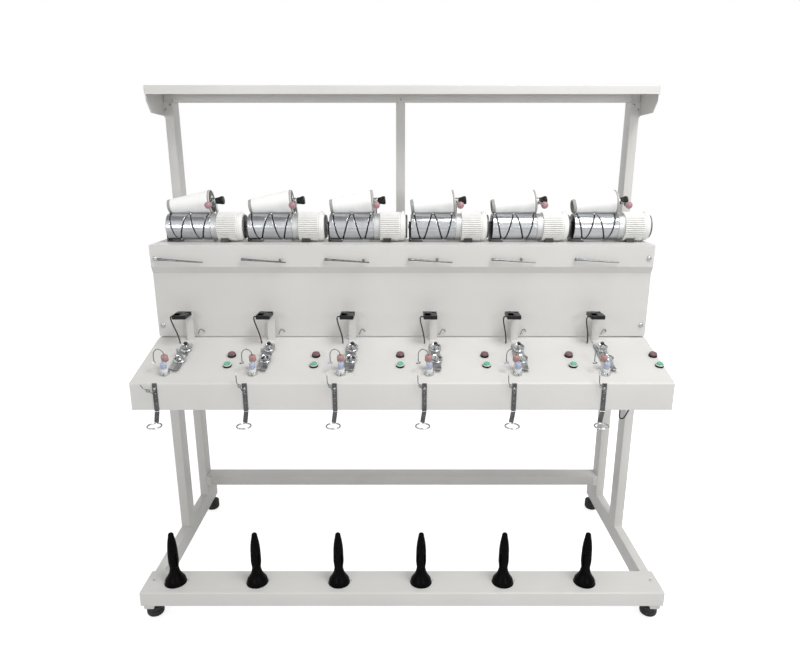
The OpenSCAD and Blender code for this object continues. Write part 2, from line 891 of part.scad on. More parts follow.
module back_panel() {
    front = [[flange_face_y, beam_top_z], [flange_face_y, flange_z], [panel_face_y, strip_z],
        [panel_face_y, panel_z]];
    rear = [[panel_face_y + sheet_t, panel_z], [panel_face_y + sheet_t, strip_z],
        [flange_face_y + sheet_t, flange_z], [flange_face_y + sheet_t, beam_top_z]];
    end = [[panel_face_y + sheet_t, panel_z], [front_leg_y, panel_z], [front_leg_y, beam_z],
        [flange_face_y + sheet_t, beam_z], [flange_face_y + sheet_t, flange_z],
        [panel_face_y + sheet_t, strip_z]];
    color(coat) {
        translate([-cover_x, 0, 0])
            rotate([90, 0, 90])
                linear_extrude(2 * cover_x)
                    polygon(concat(front, rear));
        both_sides()
            translate([cover_x - sheet_t, 0, 0])
                rotate([90, 0, 90])
                    linear_extrude(sheet_t)
                        polygon(end);
    }
}

// Finned housing with its rounded cap, rear disc and the bores that carry the drum shaft
module motor_housings() {
    tooth = 360 / fin_count;
    flanks = [[-fin_root_share, 0], [-fin_tip_share, 1], [fin_tip_share, 1], [fin_root_share, 0]];
    outline = [for (k = [0 : fin_count - 1], e = flanks)
        let (r = motor_r - fin_depth * (1 - e[1]), a = tooth * (k + e[0]))
        [r * cos(a), r * sin(a)]];
    cap_r = motor_r - fin_depth / 2;
    cap = [[0, 0], [cap_r, 0], [cap_r, cap_straight], [cap_r - fin_depth / 2, cap_slant],
        [motor_cap_r, motor_cap_len], [0, motor_cap_len]];
    color(motor_white)
        for (i = [1 : heads])
            at_drum_axis(i) {
                difference() {
                    union() {
                        translate([motor_x, 0, 0])
                            rotate([0, 90, 0])
                                linear_extrude(motor_len)
                                    polygon(outline);
                        translate([cap_x, 0, 0])
                            rotate([0, 90, 0])
                                rotate_extrude()
                                    polygon(cap);
                        translate([disc_x, 0, 0])
                            rod_x(rear_disc_r, rear_disc_t);
                        translate([cap_x + motor_cap_len / 2, 0, motor_cap_r])
                            cylinder(r = nub_r, h = cap_r - motor_cap_r + nub_h);
                    }
                    translate([motor_x + motor_wall, 0, 0])
                        rod_x(rotor_r + rotor_gap, motor_len - motor_wall);
                    translate([motor_x - cut, 0, 0])
                        rod_x(shaft_r + running_gap, disc_x + rear_disc_t - motor_x + 2 * cut);
                }
            }
}

// Slanting feet that carry the motor housings on the beam
module motor_feet() {
    color(black)
        for (i = [1 : heads])
            at_head(i)
                difference() {
                    translate([motor_foot_x, drum_y, beam_top_z])
                        rotate([90, 0, 90])
                            linear_extrude(motor_foot_w)
                                polygon([[-motor_foot_d / 2, 0], [motor_foot_d / 2, 0],
                                    [motor_foot_top, drum_up - motor_r / 2],
                                    [-motor_foot_top, drum_up - motor_r / 2]]);
                    translate([motor_foot_x - cut, drum_y, drum_z])
                        rod_x(motor_r, motor_foot_w + 2 * cut);
                }
}

module bearing_brackets() {
    color(black)
        for (i = [1 : heads])
            at_drum_axis(i)
                difference() {
                    union() {
                        translate([bearing_x, 0, 0])
                            rod_x(bearing_hub_r, bearing_t);
                        box([bearing_x, -bearing_hub_r, -drum_up],
                            [bearing_x + bearing_t, bearing_hub_r, 0]);
                        box([bearing_x, -bearing_hub_r, -drum_up],
                            [bearing_foot, bearing_hub_r, bearing_foot_t - drum_up]);
                        box([bearing_x, -bearing_hub_r, -drum_up],
                            [bearing_block, bearing_hub_r, -drum_r - bearing_collar_t]);
                    }
                    translate([bearing_x - cut, 0, 0])
                        rod_x(shaft_r + running_gap, bearing_t + 2 * cut);
                }
}

// Base plate, two ears and the fixed pin on which an arm tilts
module pivot_brackets() {
    half = pivot_tube_len / 2 + pivot_gap;
    color(black)
        for (i = [1 : heads])
            at_drum_axis(i)
                translate([arm_x, pivot_back, 0]) {
                    box([-half - pivot_ear_t, -pivot_ear_r, -drum_up],
                        [half + pivot_ear_t, beam_back - pivot_back - drum_back, pivot_base_t - drum_up]);
                    both_sides()
                        translate([half, 0, 0]) {
                            box([0, -pivot_ear_r, -drum_up], [pivot_ear_t, pivot_ear_r, pivot_up]);
                            translate([0, 0, pivot_up])
                                rod_x(pivot_ear_r, pivot_ear_t);
                            translate([pivot_ear_t, 0, pivot_up])
                                rod_x(pivot_head_r, pivot_head_t);
                        }
                    translate([-half, 0, pivot_up])
                        rod_x(pivot_pin_r, 2 * half);
                }
}

module sensor_boxes() {
    color(black)
        for (i = [1 : heads])
            at_head(i)
                difference() {
                    box([sensor_shift, -sensor_front - sensor_d, sensor_z],
                        [sensor_shift + sensor_w, -sensor_front, sensor_z + sensor_h]);
                    translate([sensor_shift + sensor_w - slot_depth,
                        -sensor_front - slot_back, sensor_z - cut])
                        cube([slot_depth + cut, slot_w, sensor_h + 2 * cut]);
                }
}

// Upright sheet behind the sensor box, with a foot on the slope
module sensor_brackets() {
    y = -sensor_front;
    foot_s = (console_front - sensor_front) / cos(slope);
    color(coat)
        for (i = [1 : heads]) {
            at_head(i)
                difference() {
                    box([sensor_bracket_x, y, console_front_z],
                        [sensor_bracket_x + sensor_bracket_w, y + sensor_bracket_t,
                        sensor_z + sensor_h]);
                    translate([sensor_bracket_x - cut, -console_front, console_front_z])
                        rotate([slope, 0, 0])
                            translate([0, 0, -2 * slope_rise])
                                cube([sensor_bracket_w + 2 * cut, slope_len, 2 * slope_rise]);
                }
            at_slope(i, sensor_bracket_x, foot_s - sensor_foot_len)
                cube([sensor_bracket_w, sensor_foot_len, sensor_bracket_t]);
        }
}

// A slack curve that leaves a towards b and comes in to d from c
function slack(a, b, c, d, t) = a * pow(1 - t, 3) + b * (3 * t * pow(1 - t, 2))
    + c * (3 * t * t * (1 - t)) + d * pow(t, 3);

// Sensor leads in a slack bow from the box's left side to the console, and one slack loop below the console
module leads() {
    foot = on_slope(lead_foot_s);
    off = [0, -sin(slope), cos(slope)];
    left = [-1, 0, 0];
    loop = [for (p = loop_points) [p.x, loop_y, console_z + p.y]];
    color(black) {
        for (i = [1 : heads]) {
            side = unit_x(i) + sensor_shift;
            high = [side, -sensor_front - lead_top_dy, sensor_z + sensor_h / 2];
            low = [side + lead_foot_dx, foot.x, foot.y];
            a = high + left * lead_dia;
            b = a + left * lead_side;
            c = low + off * (lead_dia + lead_reach);
            d = low + off * lead_dia;
            route = [for (k = [0 : lead_rings]) slack(a, b, c, d, k / lead_rings)];
            swept(concat([high], route, [low]), lead_dia / 2, lead_sides);
        }
        swept(loop, lead_dia / 2, lead_sides);
    }
}

// A plate on two spacers with a bent-up blade at its front right corner
module tension_plates() {
    color(strap_grey)
        for (i = [1 : heads])
            at_slope(i, disc_shift, 0) {
                box([-plate_left, plate_front_s, plate_lift],
                    [tension_plate_w - plate_left, plate_back_s, plate_lift + tension_plate_t]);
                for (s = [disc_low_s, disc_low_s + disc_step])
                    translate([0, s, 0])
                        cylinder(r = spindle_nut_r, h = plate_lift);
                translate([tension_plate_w - plate_left - blade_w - edge_in,
                    plate_front_s + blade_root, plate_lift + edge_in])
                    mirror([0, 1, 0])
                        rotate([blade_lift, 0, 0])
                            cube([blade_w, blade_len, tension_plate_t]);
                translate([edge_in - plate_left, disc_low_s + disc_step / 2 - bar_w / 2,
                    plate_lift + edge_in])
                    cube([bar_t, bar_w, bar_h]);
            }
}

// Two dished discs, face to face
module disc_pair() {
    up = plate_lift + tension_plate_t + disc_up;
    dish = [[tension_spindle_r, 0], [disc_flat_r, 0], [disc_r - disc_rim_h, disc_t],
        [disc_r, disc_rim_h], [disc_r, disc_rim_h + disc_t], [disc_r - disc_rim_h, 2 * disc_t],
        [disc_flat_r, disc_t], [tension_spindle_r, disc_t]];
    translate([0, 0, up]) {
        rotate_extrude()
            polygon(dish);
        mirror([0, 0, 1])
            rotate_extrude()
                polygon(dish);
    }
}

module tension_discs() {
    color(chrome)
        for (i = [1 : heads])
            for (s = [disc_low_s, disc_low_s + disc_step])
                at_slope(i, disc_shift, s)
                    disc_pair();
}

// Spindles with nuts; the upper one carries a cone spring under a black knob
module tension_spindles() {
    base = plate_lift + tension_plate_t;
    over = base + disc_up + disc_t;
    steps = spring_steps * spring_turns;
    spring = [for (k = [0 : steps]) let (t = k / steps, a = 360 * spring_turns * t,
        r = spring_r + (spring_top_r - spring_r) * t)
        [r * cos(a), r * sin(a), over + spring_wire + (spring_h - 2 * spring_wire) * t]];
    apart = [for (k = [0 : steps], j = [k + spring_steps / 2 : 1 : steps]) norm(spring[k] - spring[j])];
    echo(str("cone spring: least gap to itself ", min(apart) - spring_wire, " mm"));
    color(chrome)
        for (i = [1 : heads]) {
            at_slope(i, disc_shift, disc_low_s) {
                translate([0, 0, base])
                    cylinder(r = tension_spindle_r, h = spindle_up);
                translate([0, 0, over])
                    cylinder(r = spindle_nut_r, h = spindle_nut_h, $fn = 6);
            }
            at_slope(i, disc_shift, disc_low_s + disc_step) {
                translate([0, 0, base])
                    cylinder(r = tension_spindle_r, h = upper_spindle_up);
                swept(spring, spring_wire / 2, 6);
                translate([0, 0, over + spring_h])
                    cylinder(r1 = tension_knob_r, r2 = knob_tip_r, h = knob_h);
            }
        }
}

module guide_posts() {
    color(paper_white)
        for (i = [1 : heads]) {
            at_slope(i, post_shift, post_s)
                difference() {
                    union() {
                        cylinder(r = post_base_r, h = post_base_h);
                        translate([0, 0, post_base_h])
                            cylinder(r = post_sleeve_r, h = post_sleeve_h);
                        translate([0, 0, post_base_h + post_sleeve_h])
                            cylinder(r = post_cap_r, h = post_cap_h);
                    }
                    translate([-post_slot_w / 2, -post_base_r - cut, -cut])
                        cube([post_slot_w, post_base_r / 2, post_base_h + cut]);
                    translate([0, 0, post_base_h + post_sleeve_h + post_cap_h - post_hole_depth])
                        cylinder(r = post_hole_r, h = post_hole_depth + cut);
                }
            at_slope(i, red_post_shift, red_post_s) {
                cylinder(r = red_stem_r, h = red_stem_h);
                translate([0, 0, red_stem_h])
                    cylinder(r1 = red_cap_r, r2 = red_cap_r - red_cap_taper, h = red_cap_h);
            }
        }
}

// The hooked wires of the guide posts, the pigtails on the fascia and the hooks on the panel
module wire_guides() {
    strap_face_y = -console_front - strap_t - screw_h;
    cap_top = on_slope(red_post_s);
    tilt = [0, -sin(slope), cos(slope)];
    color(chrome)
        for (i = [1 : heads]) {
            start = [unit_x(i) + red_post_shift, cap_top.x, cap_top.y]
                + tilt * (red_stem_h + red_cap_h + wire_r + cut);
            eye = hook_points[len(hook_points) - 1] - [0, eyelet_r, eyelet_drop];
            loop = [for (a = [eyelet_open : eyelet_step : 360 - eyelet_open])
                eye + [eyelet_r * sin(a), eyelet_r * cos(a), -eyelet_climb * a / 360]];
            swept([for (p = concat(hook_points, loop)) start + p], wire_r, wire_sides);
            pigtail = i == 1 ? low_pigtail : high_pigtail;
            swept([for (p = pigtail) p + [unit_x(i) + strap_shift, strap_face_y, console_front_z]],
                wire_r, wire_sides);
            swept([for (p = panel_hook)
                p + [unit_x(i) + panel_hook_shift, panel_face_y, panel_z + panel_hook_up]],
                wire_r, wire_sides);
        }
}

// Straps with rings on the fascia, and the sloping guide rods on the panel's flange
module front_guides() {
    ring_seat = ring_z + ring_wire_r + ring_gap;
    bend_len = (console_front_z - strap_len - ring_seat - strap_w / 2 * sin(strap_bend)) / cos(strap_bend);
    rod_angle = atan(rod_drop / rod_len);
    color(strap_grey)
        for (i = [1 : heads])
            at_head(i) {
                difference() {
                    box([strap_shift - strap_w / 2, -console_front - strap_t, console_front_z - strap_len],
                        [strap_shift + strap_w / 2, -console_front, console_front_z]);
                    for (k = [1 : 3])
                        translate([strap_shift, cut - console_front,
                            console_front_z - strap_top_drop - k * hole_pitch])
                            rotate([90, 0, 0])
                                cylinder(r = strap_hole_r, h = strap_t + 2 * cut);
                }
                translate([strap_shift, -console_front - strap_t, console_front_z - strap_len])
                    rotate([0, strap_bend, 0])
                        translate([-strap_w / 2, 0, -bend_len])
                            cube([strap_w, strap_t, bend_len]);
            }
    color(chrome)
        for (i = [1 : heads])
            at_head(i) {
                translate([strap_shift - strap_bend_dx, -ring_r - console_front, ring_z])
                    rotate_extrude()
                        translate([ring_r, 0])
                            circle(r = ring_wire_r, $fn = 24);
                translate([rod_shift, flange_face_y - rod_stand, beam_top_z - rod_z_drop]) {
                    rotate([0, 90 + rod_angle, 0])
                        cylinder(r1 = rod_r, r2 = rod_end_r, h = rod_len);
                    translate([rod_r, 0, 0])
                        rotate([-90, 0, 0])
                            cylinder(r = rod_stud_r, h = rod_stand);
                }
            }
}

// Ring above the sheet and switch block below it; the start buttons also have a bezel
module button_base(i, s, cap_r) {
    at_slope(i, button_shift, s)
        difference() {
            union() {
                cylinder(r = button_base_r, h = button_base_h);
                if (s == start_s)
                    translate([0, 0, button_base_h])
                        cylinder(r = bezel_r, h = bezel_h);
            }
            translate([0, 0, -cut])
                cylinder(r = cap_r + cap_gap, h = button_base_h + bezel_h + 2 * cut);
        }
    at_slope(i, button_shift, s)
        difference() {
            box([-switch_w / 2, -switch_w / 2, -sheet_t - switch_h],
                [switch_w / 2, switch_w / 2, -sheet_t]);
            translate([0, 0, -stem_len - 2 * button_travel])
                cylinder(r = stem_r + stem_hole_gap, h = stem_len + 2 * button_travel);
        }
}

module button_bases() {
    color(black)
        for (i = [1 : heads]) {
            button_base(i, start_s, start_cap_r);
            button_base(i, stop_s, stop_cap_r);
        }
}

module screw_head(r, h) {
    cylinder(r1 = r, r2 = r * screw_face_share, h = h);
}

// Visible screw heads: panel bolts, creel screws, strap screws, gusset and centre post screws
module fasteners() {
    bolt_x = cover_x - bolt_inset;
    color(chrome) {
        both_sides() {
            translate([bolt_x, flange_face_y, beam_top_z - bolt_drop])
                rotate([90, 0, 0])
                    screw_head(bolt_head_r, bolt_head_h);
            translate([bolt_x, panel_face_y, panel_z + bolt_up])
                rotate([90, 0, 0])
                    screw_head(bolt_head_r, bolt_head_h);
            translate([out_x - tube_w / 2, peg_y + peg_hole_dy, creel_top_z])
                screw_head(screw_r, screw_h);
            for (step = gusset_screw_steps)
                translate([in_x + step, rear_post_y - plate_t, top_rail_z - step])
                    rotate([90, 0, 0])
                        screw_head(screw_r, screw_h);
        }
        translate([-centre_post_x, rear_post_y - lap_t, top_rail_z + lap_h / 4])
            rotate([90, 0, 0])
                screw_head(screw_r, screw_h);
        for (i = [1 : heads])
            at_head(i)
                translate([strap_shift, -console_front - strap_t, console_front_z - strap_top_drop])
                    rotate([90, 0, 0])
                        screw_head(screw_r, screw_h);
    }
}

// One length of the yarn groove as a tapered bar wound on the drum; way is 1 there and -1 back
function groove_x(t) = groove_margin + (drum_len - 2 * groove_margin)
    * (1 + asin(reversal_share * sin(180 * t - 90)) / asin(reversal_share)) / 2;
module groove(way) {
    n = groove_steps;
    top = drum_r + groove_lift;
    floor_r = drum_r - groove_depth;
    wide = groove_w / 2 + (groove_w - groove_floor_w) * groove_lift / (2 * groove_depth);
    section = [[floor_r, -groove_floor_w / 2], [floor_r, groove_floor_w / 2], [top, wide],
        [top, -wide]];
    points = [for (k = [0 : n], q = section) let (a = way * 360 * groove_turns * k / n)
        [groove_x(k / n) + q[1], q[0] * sin(a), q[0] * cos(a)]];
    skin = [for (k = [0 : n - 1], j = [0 : 3])
        let (a = 4 * k + j, b = 4 * k + (j + 1) % 4)
        each (way > 0 ? [[a, b, a + 4], [b, b + 4, a + 4]] : [[a, a + 4, b], [b, a + 4, b + 4]])];
    ends = way > 0 ? [[3, 2, 1, 0], [4 * n, 4 * n + 1, 4 * n + 2, 4 * n + 3]]
        : [[0, 1, 2, 3], [4 * n + 3, 4 * n + 2, 4 * n + 1, 4 * n]];
    polyhedron(points = points, faces = concat(skin, ends), convexity = 8);
}

// Grooved drum with its collar, end disc, shaft and motor rotor
module drum(i) {
    color(drum_silver)
        at_drum_axis(i) {
            difference() {
                rod_x(drum_r, drum_total);
                translate([web_t, 0, 0])
                    rod_x(drum_r - drum_wall, drum_total - 2 * web_t);
                groove(1);
                groove(-1);
            }
            translate([-end_disc_t, 0, 0])
                rod_x(end_disc_r, end_disc_t);
            translate([bearing_x - hub_cap_t, 0, 0])
                rod_x(shaft_r, shaft_right - bearing_x + hub_cap_t);
            translate([motor_x + motor_wall + rotor_inset, 0, 0])
                rod_x(rotor_r, motor_len - motor_wall - 2 * rotor_inset);
        }
}

// Cradle arm: pivot tube, link, hub on the cone's axis, and the handle with its ball
module arm(i) {
    color(chrome) {
        difference() {
            union() {
                at_drum_axis(i)
                    translate([arm_x, pivot_back, pivot_up]) {
                        translate([-pivot_tube_len / 2, 0, 0])
                            rod_x(pivot_tube_r, pivot_tube_len);
                        rotate([link_angle, 0, 0])
                            translate([-arm_t / 2, -link_len, -arm_w / 2])
                                cube([arm_t, link_len, arm_w]);
                    }
                at_cone(i)
                    translate([0, 0, hub_s])
                        cylinder(r = hub_r, h = hub_len);
            }
            at_drum_axis(i)
                translate([arm_x - pivot_tube_len / 2 - cut, pivot_back, pivot_up])
                    rod_x(pivot_pin_r + running_gap, pivot_tube_len + 2 * cut);
            at_cone(i)
                translate([0, 0, hub_s - cut])
                    cylinder(r = spindle_r + running_gap, h = hub_len + 2 * cut);
        }
        at_drum_axis(i)
            translate([arm_x, hub_y, hub_z])
                rotate([180 + atan(handle_drop / handle_reach), 0, 0])
                    translate([0, hub_r - handle_r, 0])
                        rotate([-90, 0, 0])
                            cylinder(r = handle_r, h = handle_reach - hub_r);
        at_drum_axis(i)
            translate([arm_x + ball_shift, hub_y - handle_reach, hub_z - handle_drop])
                sphere(r = ball_r);
    }
}

// Paper cone, the chuck that grips its large end, and the spindle with the black end knob
module cone(i) {
    color(paper_white)
        at_cone(i) {
            rotate_extrude()
                polygon([[cone_small_r - cone_wall, 0], [cone_small_r, 0],
                    [cone_large_r, cone_axial], [cone_large_r - cone_wall, cone_axial]]);
            plug_r = cone_large_r - cone_wall - chuck_fit;
            taper = chuck_plug_len * tan(cone_angle);
            translate([0, 0, chuck_x - chuck_plug_len])
                cylinder(r1 = plug_r - taper, r2 = plug_r, h = chuck_plug_len);
            translate([0, 0, chuck_x])
                cylinder(r = cone_large_r, h = chuck_flange_t);
            translate([0, 0, chuck_x])
                cylinder(r = spindle_r, h = knob_s - chuck_x + end_knob_len);
            translate([0, 0, knob_s])
                rotate_extrude()
                    polygon([[0, 0], [end_knob_r, 0], [end_knob_r, end_knob_len - knob_round],
                        [end_knob_r - knob_round, end_knob_len], [0, end_knob_len]]);
        }
}

module button(i, s, cap_r) {
    at_slope(i, button_shift, s) {
        translate([0, 0, cap_skirt + button_travel])
            cylinder(r1 = cap_r, r2 = cap_r - cap_taper, h = button_base_h + button_cap_h - button_travel);
        translate([0, 0, -stem_len])
            cylinder(r = stem_r, h = stem_len + cap_skirt + button_travel);
    }
}

base_side_tubes();
front_legs();
rear_posts();
centre_post();
frame_rails();
drum_beam();
top_shelf();
shelf_gussets();
creel_shelf();
creel_pegs();
rubber_feet();
foot_studs();
console_shell();
console_floor();
back_panel();
motor_housings();
motor_feet();
bearing_brackets();
pivot_brackets();
sensor_boxes();
sensor_brackets();
leads();
tension_plates();
tension_discs();
tension_spindles();
guide_posts();
wire_guides();
front_guides();
button_bases();
fasteners();
for (i = [1 : heads])
    drum(i);
for (i = [1 : heads])
    arm(i);
for (i = [1 : heads])
    cone(i);
for (i = [1 : heads])
    color(green) button(i, start_s, start_cap_r);
for (i = [1 : heads])
    color(maroon) button(i, stop_s, stop_cap_r);
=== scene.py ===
import math

import bmesh
import bpy
import numpy as np
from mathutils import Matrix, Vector


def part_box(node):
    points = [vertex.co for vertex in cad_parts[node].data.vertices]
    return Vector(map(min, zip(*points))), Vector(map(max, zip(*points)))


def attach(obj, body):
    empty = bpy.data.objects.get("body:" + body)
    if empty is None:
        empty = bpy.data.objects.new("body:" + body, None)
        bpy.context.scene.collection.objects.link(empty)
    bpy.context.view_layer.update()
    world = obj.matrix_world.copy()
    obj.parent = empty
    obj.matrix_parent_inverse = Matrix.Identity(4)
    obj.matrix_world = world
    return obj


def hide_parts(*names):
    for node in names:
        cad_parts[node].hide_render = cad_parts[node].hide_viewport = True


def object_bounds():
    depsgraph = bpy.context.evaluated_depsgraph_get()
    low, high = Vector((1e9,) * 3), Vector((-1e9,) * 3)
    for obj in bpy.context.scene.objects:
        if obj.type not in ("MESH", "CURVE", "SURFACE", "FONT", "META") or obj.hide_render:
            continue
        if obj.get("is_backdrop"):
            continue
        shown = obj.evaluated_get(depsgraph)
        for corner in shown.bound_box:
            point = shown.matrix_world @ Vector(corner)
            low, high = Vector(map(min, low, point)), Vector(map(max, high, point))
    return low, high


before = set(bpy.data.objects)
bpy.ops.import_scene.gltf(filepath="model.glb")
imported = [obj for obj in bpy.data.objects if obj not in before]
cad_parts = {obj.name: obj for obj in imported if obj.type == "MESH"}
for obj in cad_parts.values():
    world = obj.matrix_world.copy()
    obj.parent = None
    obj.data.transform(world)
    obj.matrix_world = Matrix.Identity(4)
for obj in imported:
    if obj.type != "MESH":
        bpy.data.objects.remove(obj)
cad_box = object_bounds()

# Camera. The photograph was taken from 1.75 m above the floor, 2.5 m in front of the drums, looking
# 15.6 degrees down through a fairly wide lens.
PHOTO_WIDTH = 800
FOCAL_PIXELS = 639.0
MIDDLE_PIXEL = 402.0
LOOK_DOWN = 15.57
CAMERA_PLACE = (0.0, -2.530, 1.745)

view = bpy.data.cameras.new("camera")
view.sensor_width = 36.0
view.lens = view.sensor_width * FOCAL_PIXELS / PHOTO_WIDTH
view.shift_x = (PHOTO_WIDTH / 2 - MIDDLE_PIXEL) / PHOTO_WIDTH
camera = bpy.data.objects.new("camera", view)
camera.location = CAMERA_PLACE
camera.rotation_euler = (math.radians(90 - LOOK_DOWN), 0, 0)
bpy.context.scene.collection.objects.link(camera)
bpy.context.scene.camera = camera

# Sensor leads and the loop below the console. Limp 5 mm PVC signal cable, plain black, that hangs
# in a slack bow from each sensor box to a gland in the console.
HEADS = 6
HEAD_PITCH = 0.320
FIRST_HEAD_X = -0.924
HEAD_X = [FIRST_HEAD_X + HEAD_PITCH * k for k in range(HEADS)]
CONSOLE_FRONT = -0.390
CONSOLE_EDGE_Z = 0.971
CONSOLE_LOW_Z = 0.869
SLOPE = math.atan(1 / 4)
LEAD_THICK = 0.005
LEAD_POINTS = 25
LEAD_SIDE = 0.020
LEAD_REACH = 0.050
LEAD_EXIT = (0.046, -0.150, 1.1555)
LEAD_FOOT = (0.052, 0.281)
LOOP_Y = -0.360
LOOP_X = (0.794, 0.832)
LOOP_DROP = 0.046
LOOP_BEND = 0.010


def linear(code):
    """The linear red, green, blue and alpha of an sRGB hex colour."""
    parts = np.array([int(code[i : i + 2], 16) / 255 for i in (1, 3, 5)])
    lit = np.where(parts <= 0.04045, parts / 12.92, ((parts + 0.055) / 1.055) ** 2.4)
    return (*lit.tolist(), 1.0)


def add(material, kind, settings, out=0):
    """Adds a node with its settings and links to a material, and gives back one of its outputs.

    A setting named after a socket, or its number, gives the socket a value, or a link if it is
    another node's output. "stops" are a ramp's positions and hex colours.
    """
    node = material.node_tree.nodes.new(kind)
    for key, value in settings.items():
        if key == "stops":
            elements = node.color_ramp.elements
            while len(elements) < len(value):
                elements.new(1.0)
            for element, (position, code) in zip(elements, value):
                element.position = position
                element.color = linear(code)
        elif isinstance(key, int) or key in node.inputs:
            if isinstance(value, bpy.types.NodeSocket):
                material.node_tree.links.new(value, node.inputs[key])
            else:
                node.inputs[key].default_value = value
        else:
            setattr(node, key, value)
    return node.outputs[out] if node.outputs else None


def empty_material(name):
    """A material with no nodes yet."""
    material = bpy.data.materials.new(name)
    material.use_nodes = True
    material.node_tree.nodes.clear()
    return material


def piece(name, shells, material, slot, body, *nodes, sharp=30):
    """A piece made of closed shells, dressed, riding on its body and standing for its CAD nodes.

    A shell is a grid of points, rows along by columns around, and says how it closes: each row
    closes on itself, and "capped" puts a face on the first and last row, while "ring" joins the
    last row to the first.
    """
    vertices, faces, base = [], [], 0
    for points, closing in shells:
        rows, columns = points.shape[:2]
        u = np.arange(rows if closing == "ring" else rows - 1)[:, None]
        v = np.arange(columns)[None, :]
        up, along = (u + 1) % rows * columns, (v + 1) % columns
        quads = np.stack([u * columns + v, u * columns + along, up + along, up + v], -1) + base
        faces += quads.reshape(-1, 4).tolist()
        if closing == "capped":
            last = base + (rows - 1) * columns
            faces += [list(range(base, base + columns)), list(range(last, last + columns))]
        vertices.append(points.reshape(-1, 3))
        base += rows * columns
    mesh = bpy.data.meshes.new(name)
    mesh.from_pydata(np.concatenate(vertices).tolist(), [], faces)
    turned_out = bmesh.new()
    turned_out.from_mesh(mesh)
    bmesh.ops.recalc_face_normals(turned_out, faces=turned_out.faces)
    turned_out.to_mesh(mesh)
    turned_out.free()
    mesh.polygons.foreach_set("use_smooth", np.ones(len(mesh.polygons), bool))
    mesh.set_sharp_from_angle(angle=math.radians(sharp))
    mesh.materials.append(material)
    made = bpy.data.objects.new(name, mesh)
    bpy.context.scene.collection.objects.link(made)
    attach(made, body)
    if nodes:
        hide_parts(*nodes)
    return made


def unit(rows):
    """Each row of vectors at length one."""
    return rows / np.linalg.norm(rows, axis=-1, keepdims=True)


def swept(path, radius, sides=12):
    """A round bar along a path: each ring stands square to the path and is carried without twist.

    radius is one number, or one for each point of the path.
    """
    path = np.asarray(path, float)
    way = unit(np.gradient(path, axis=0))
    side = np.empty_like(way)
    last = np.eye(3)[np.argmin(np.abs(way[0]))]
    for k, ahead in enumerate(way):
        last = last - ahead * (last @ ahead)
        last = last / np.linalg.norm(last)
        side[k] = last
    other = np.cross(way, side)
    turn = np.linspace(0, 2 * np.pi, sides, endpoint=False)
    ring = side[:, None] * np.cos(turn)[None, :, None]
    ring = ring + other[:, None] * np.sin(turn)[None, :, None]
    thick = np.broadcast_to(radius, len(path))[:, None, None]
    return path[:, None] + thick * ring, "capped"


def smooth(points, between=6):
    """A curve through points, with rounded ends: each span is a cubic blend of four neighbours."""
    points = np.asarray(points, float)
    padded = np.concatenate([[2 * points[0] - points[1]], points, [2 * points[-1] - points[-2]]])
    a, b, c, d = (padded[k : len(padded) - 3 + k][:, None] for k in range(4))
    t = np.linspace(0, 1, between, endpoint=False)[None, :, None]
    blend = b + t * (c - a) / 2 + t**2 * (a - 2.5 * b + 2 * c - d / 2)
    blend = blend + t**3 * (1.5 * (b - c) + (d - a) / 2)
    return np.concatenate([blend.reshape(-1, points.shape[1]), points[-1:]])


def on_slope(x, s, up):
    """Places on the console's slope: x along the machine, s up the slope, up square off it."""
    x, s, up = np.broadcast_arrays(x, s, up)
    y = CONSOLE_FRONT + s * math.cos(SLOPE) - up * math.sin(SLOPE)
    z = CONSOLE_EDGE_Z + s * math.sin(SLOPE) + up * math.cos(SLOPE)
    return np.stack([x, y, z], -1)


def worn_finish(name, patch, detail, stops, rough, others=None, bumps=None):
    """A material whose colour wanders in patches of a size in metres, and its roughness with it.

    stops are the patches' hex colours, rough is one number or two that the patches lead between,
    others are more of the surface's settings, and bumps are the size, detail, height and strength
    of a fine relief.
    """
    material = empty_material(name)
    where = add(material, "ShaderNodeTexCoord", {}, "Object")
    worn = add(
        material, "ShaderNodeTexNoise", {"Vector": where, "Scale": 1 / patch, "Detail": detail})
    tint = add(material, "ShaderNodeValToRGB", {"Fac": worn, "stops": stops})
    settings = {"Base Color": tint, "Roughness": rough, **(others or {})}
    if isinstance(rough, tuple):
        settings["Roughness"] = add(
            material, "ShaderNodeMapRange", {"Value": worn, "To Min": rough[0], "To Max": rough[1]})
    if bumps:
        size, fine, height, strength = bumps
        skin = add(
            material, "ShaderNodeTexNoise", {"Vector": where, "Scale": 1 / size, "Detail": fine})
        settings["Normal"] = add(
            material, "ShaderNodeBump", {"Height": skin, "Distance": height, "Strength": strength})
    shader = add(material, "ShaderNodeBsdfPrincipled", settings)
    add(material, "ShaderNodeOutputMaterial", {"Surface": shader})
    return material


# PVC cable sheath, extruded: matt black that greys a little where it is handled
cable_sheath = worn_finish(
    "pvc_cable_sheath", 0.02, 3.0, [(0.3, "#121213"), (0.7, "#1D1D1F")], 0.45)


def laid_cord(name, route):
    """A cable along a route."""
    made = piece(
        name, [swept(route, LEAD_THICK / 2)], cable_sheath, "black_plastic", "frame", "leads")


# A lead runs straight out of its box's left side and straight into the slope, with a slack curve
# between: the cubic blend of four points that leaves along the first pair and comes in on the last
share = np.linspace(0, 1, LEAD_POINTS)[:, None]
for k, x in enumerate(HEAD_X):
    high = np.array([x + LEAD_EXIT[0], *LEAD_EXIT[1:]])
    away = high - (LEAD_THICK, 0, 0)
    aside = away - (LEAD_SIDE, 0, 0)
    foot, low, above = (
        on_slope(x + LEAD_FOOT[0], LEAD_FOOT[1], up)
        for up in (0.0, LEAD_THICK, LEAD_THICK + LEAD_REACH))
    bow = away * (1 - share) ** 3 + aside * 3 * share * (1 - share) ** 2
    bow = bow + above * 3 * share**2 * (1 - share) + low * share**3
    laid_cord(f"sensor_lead_{k + 1}", np.concatenate([[high], bow, [foot]]))
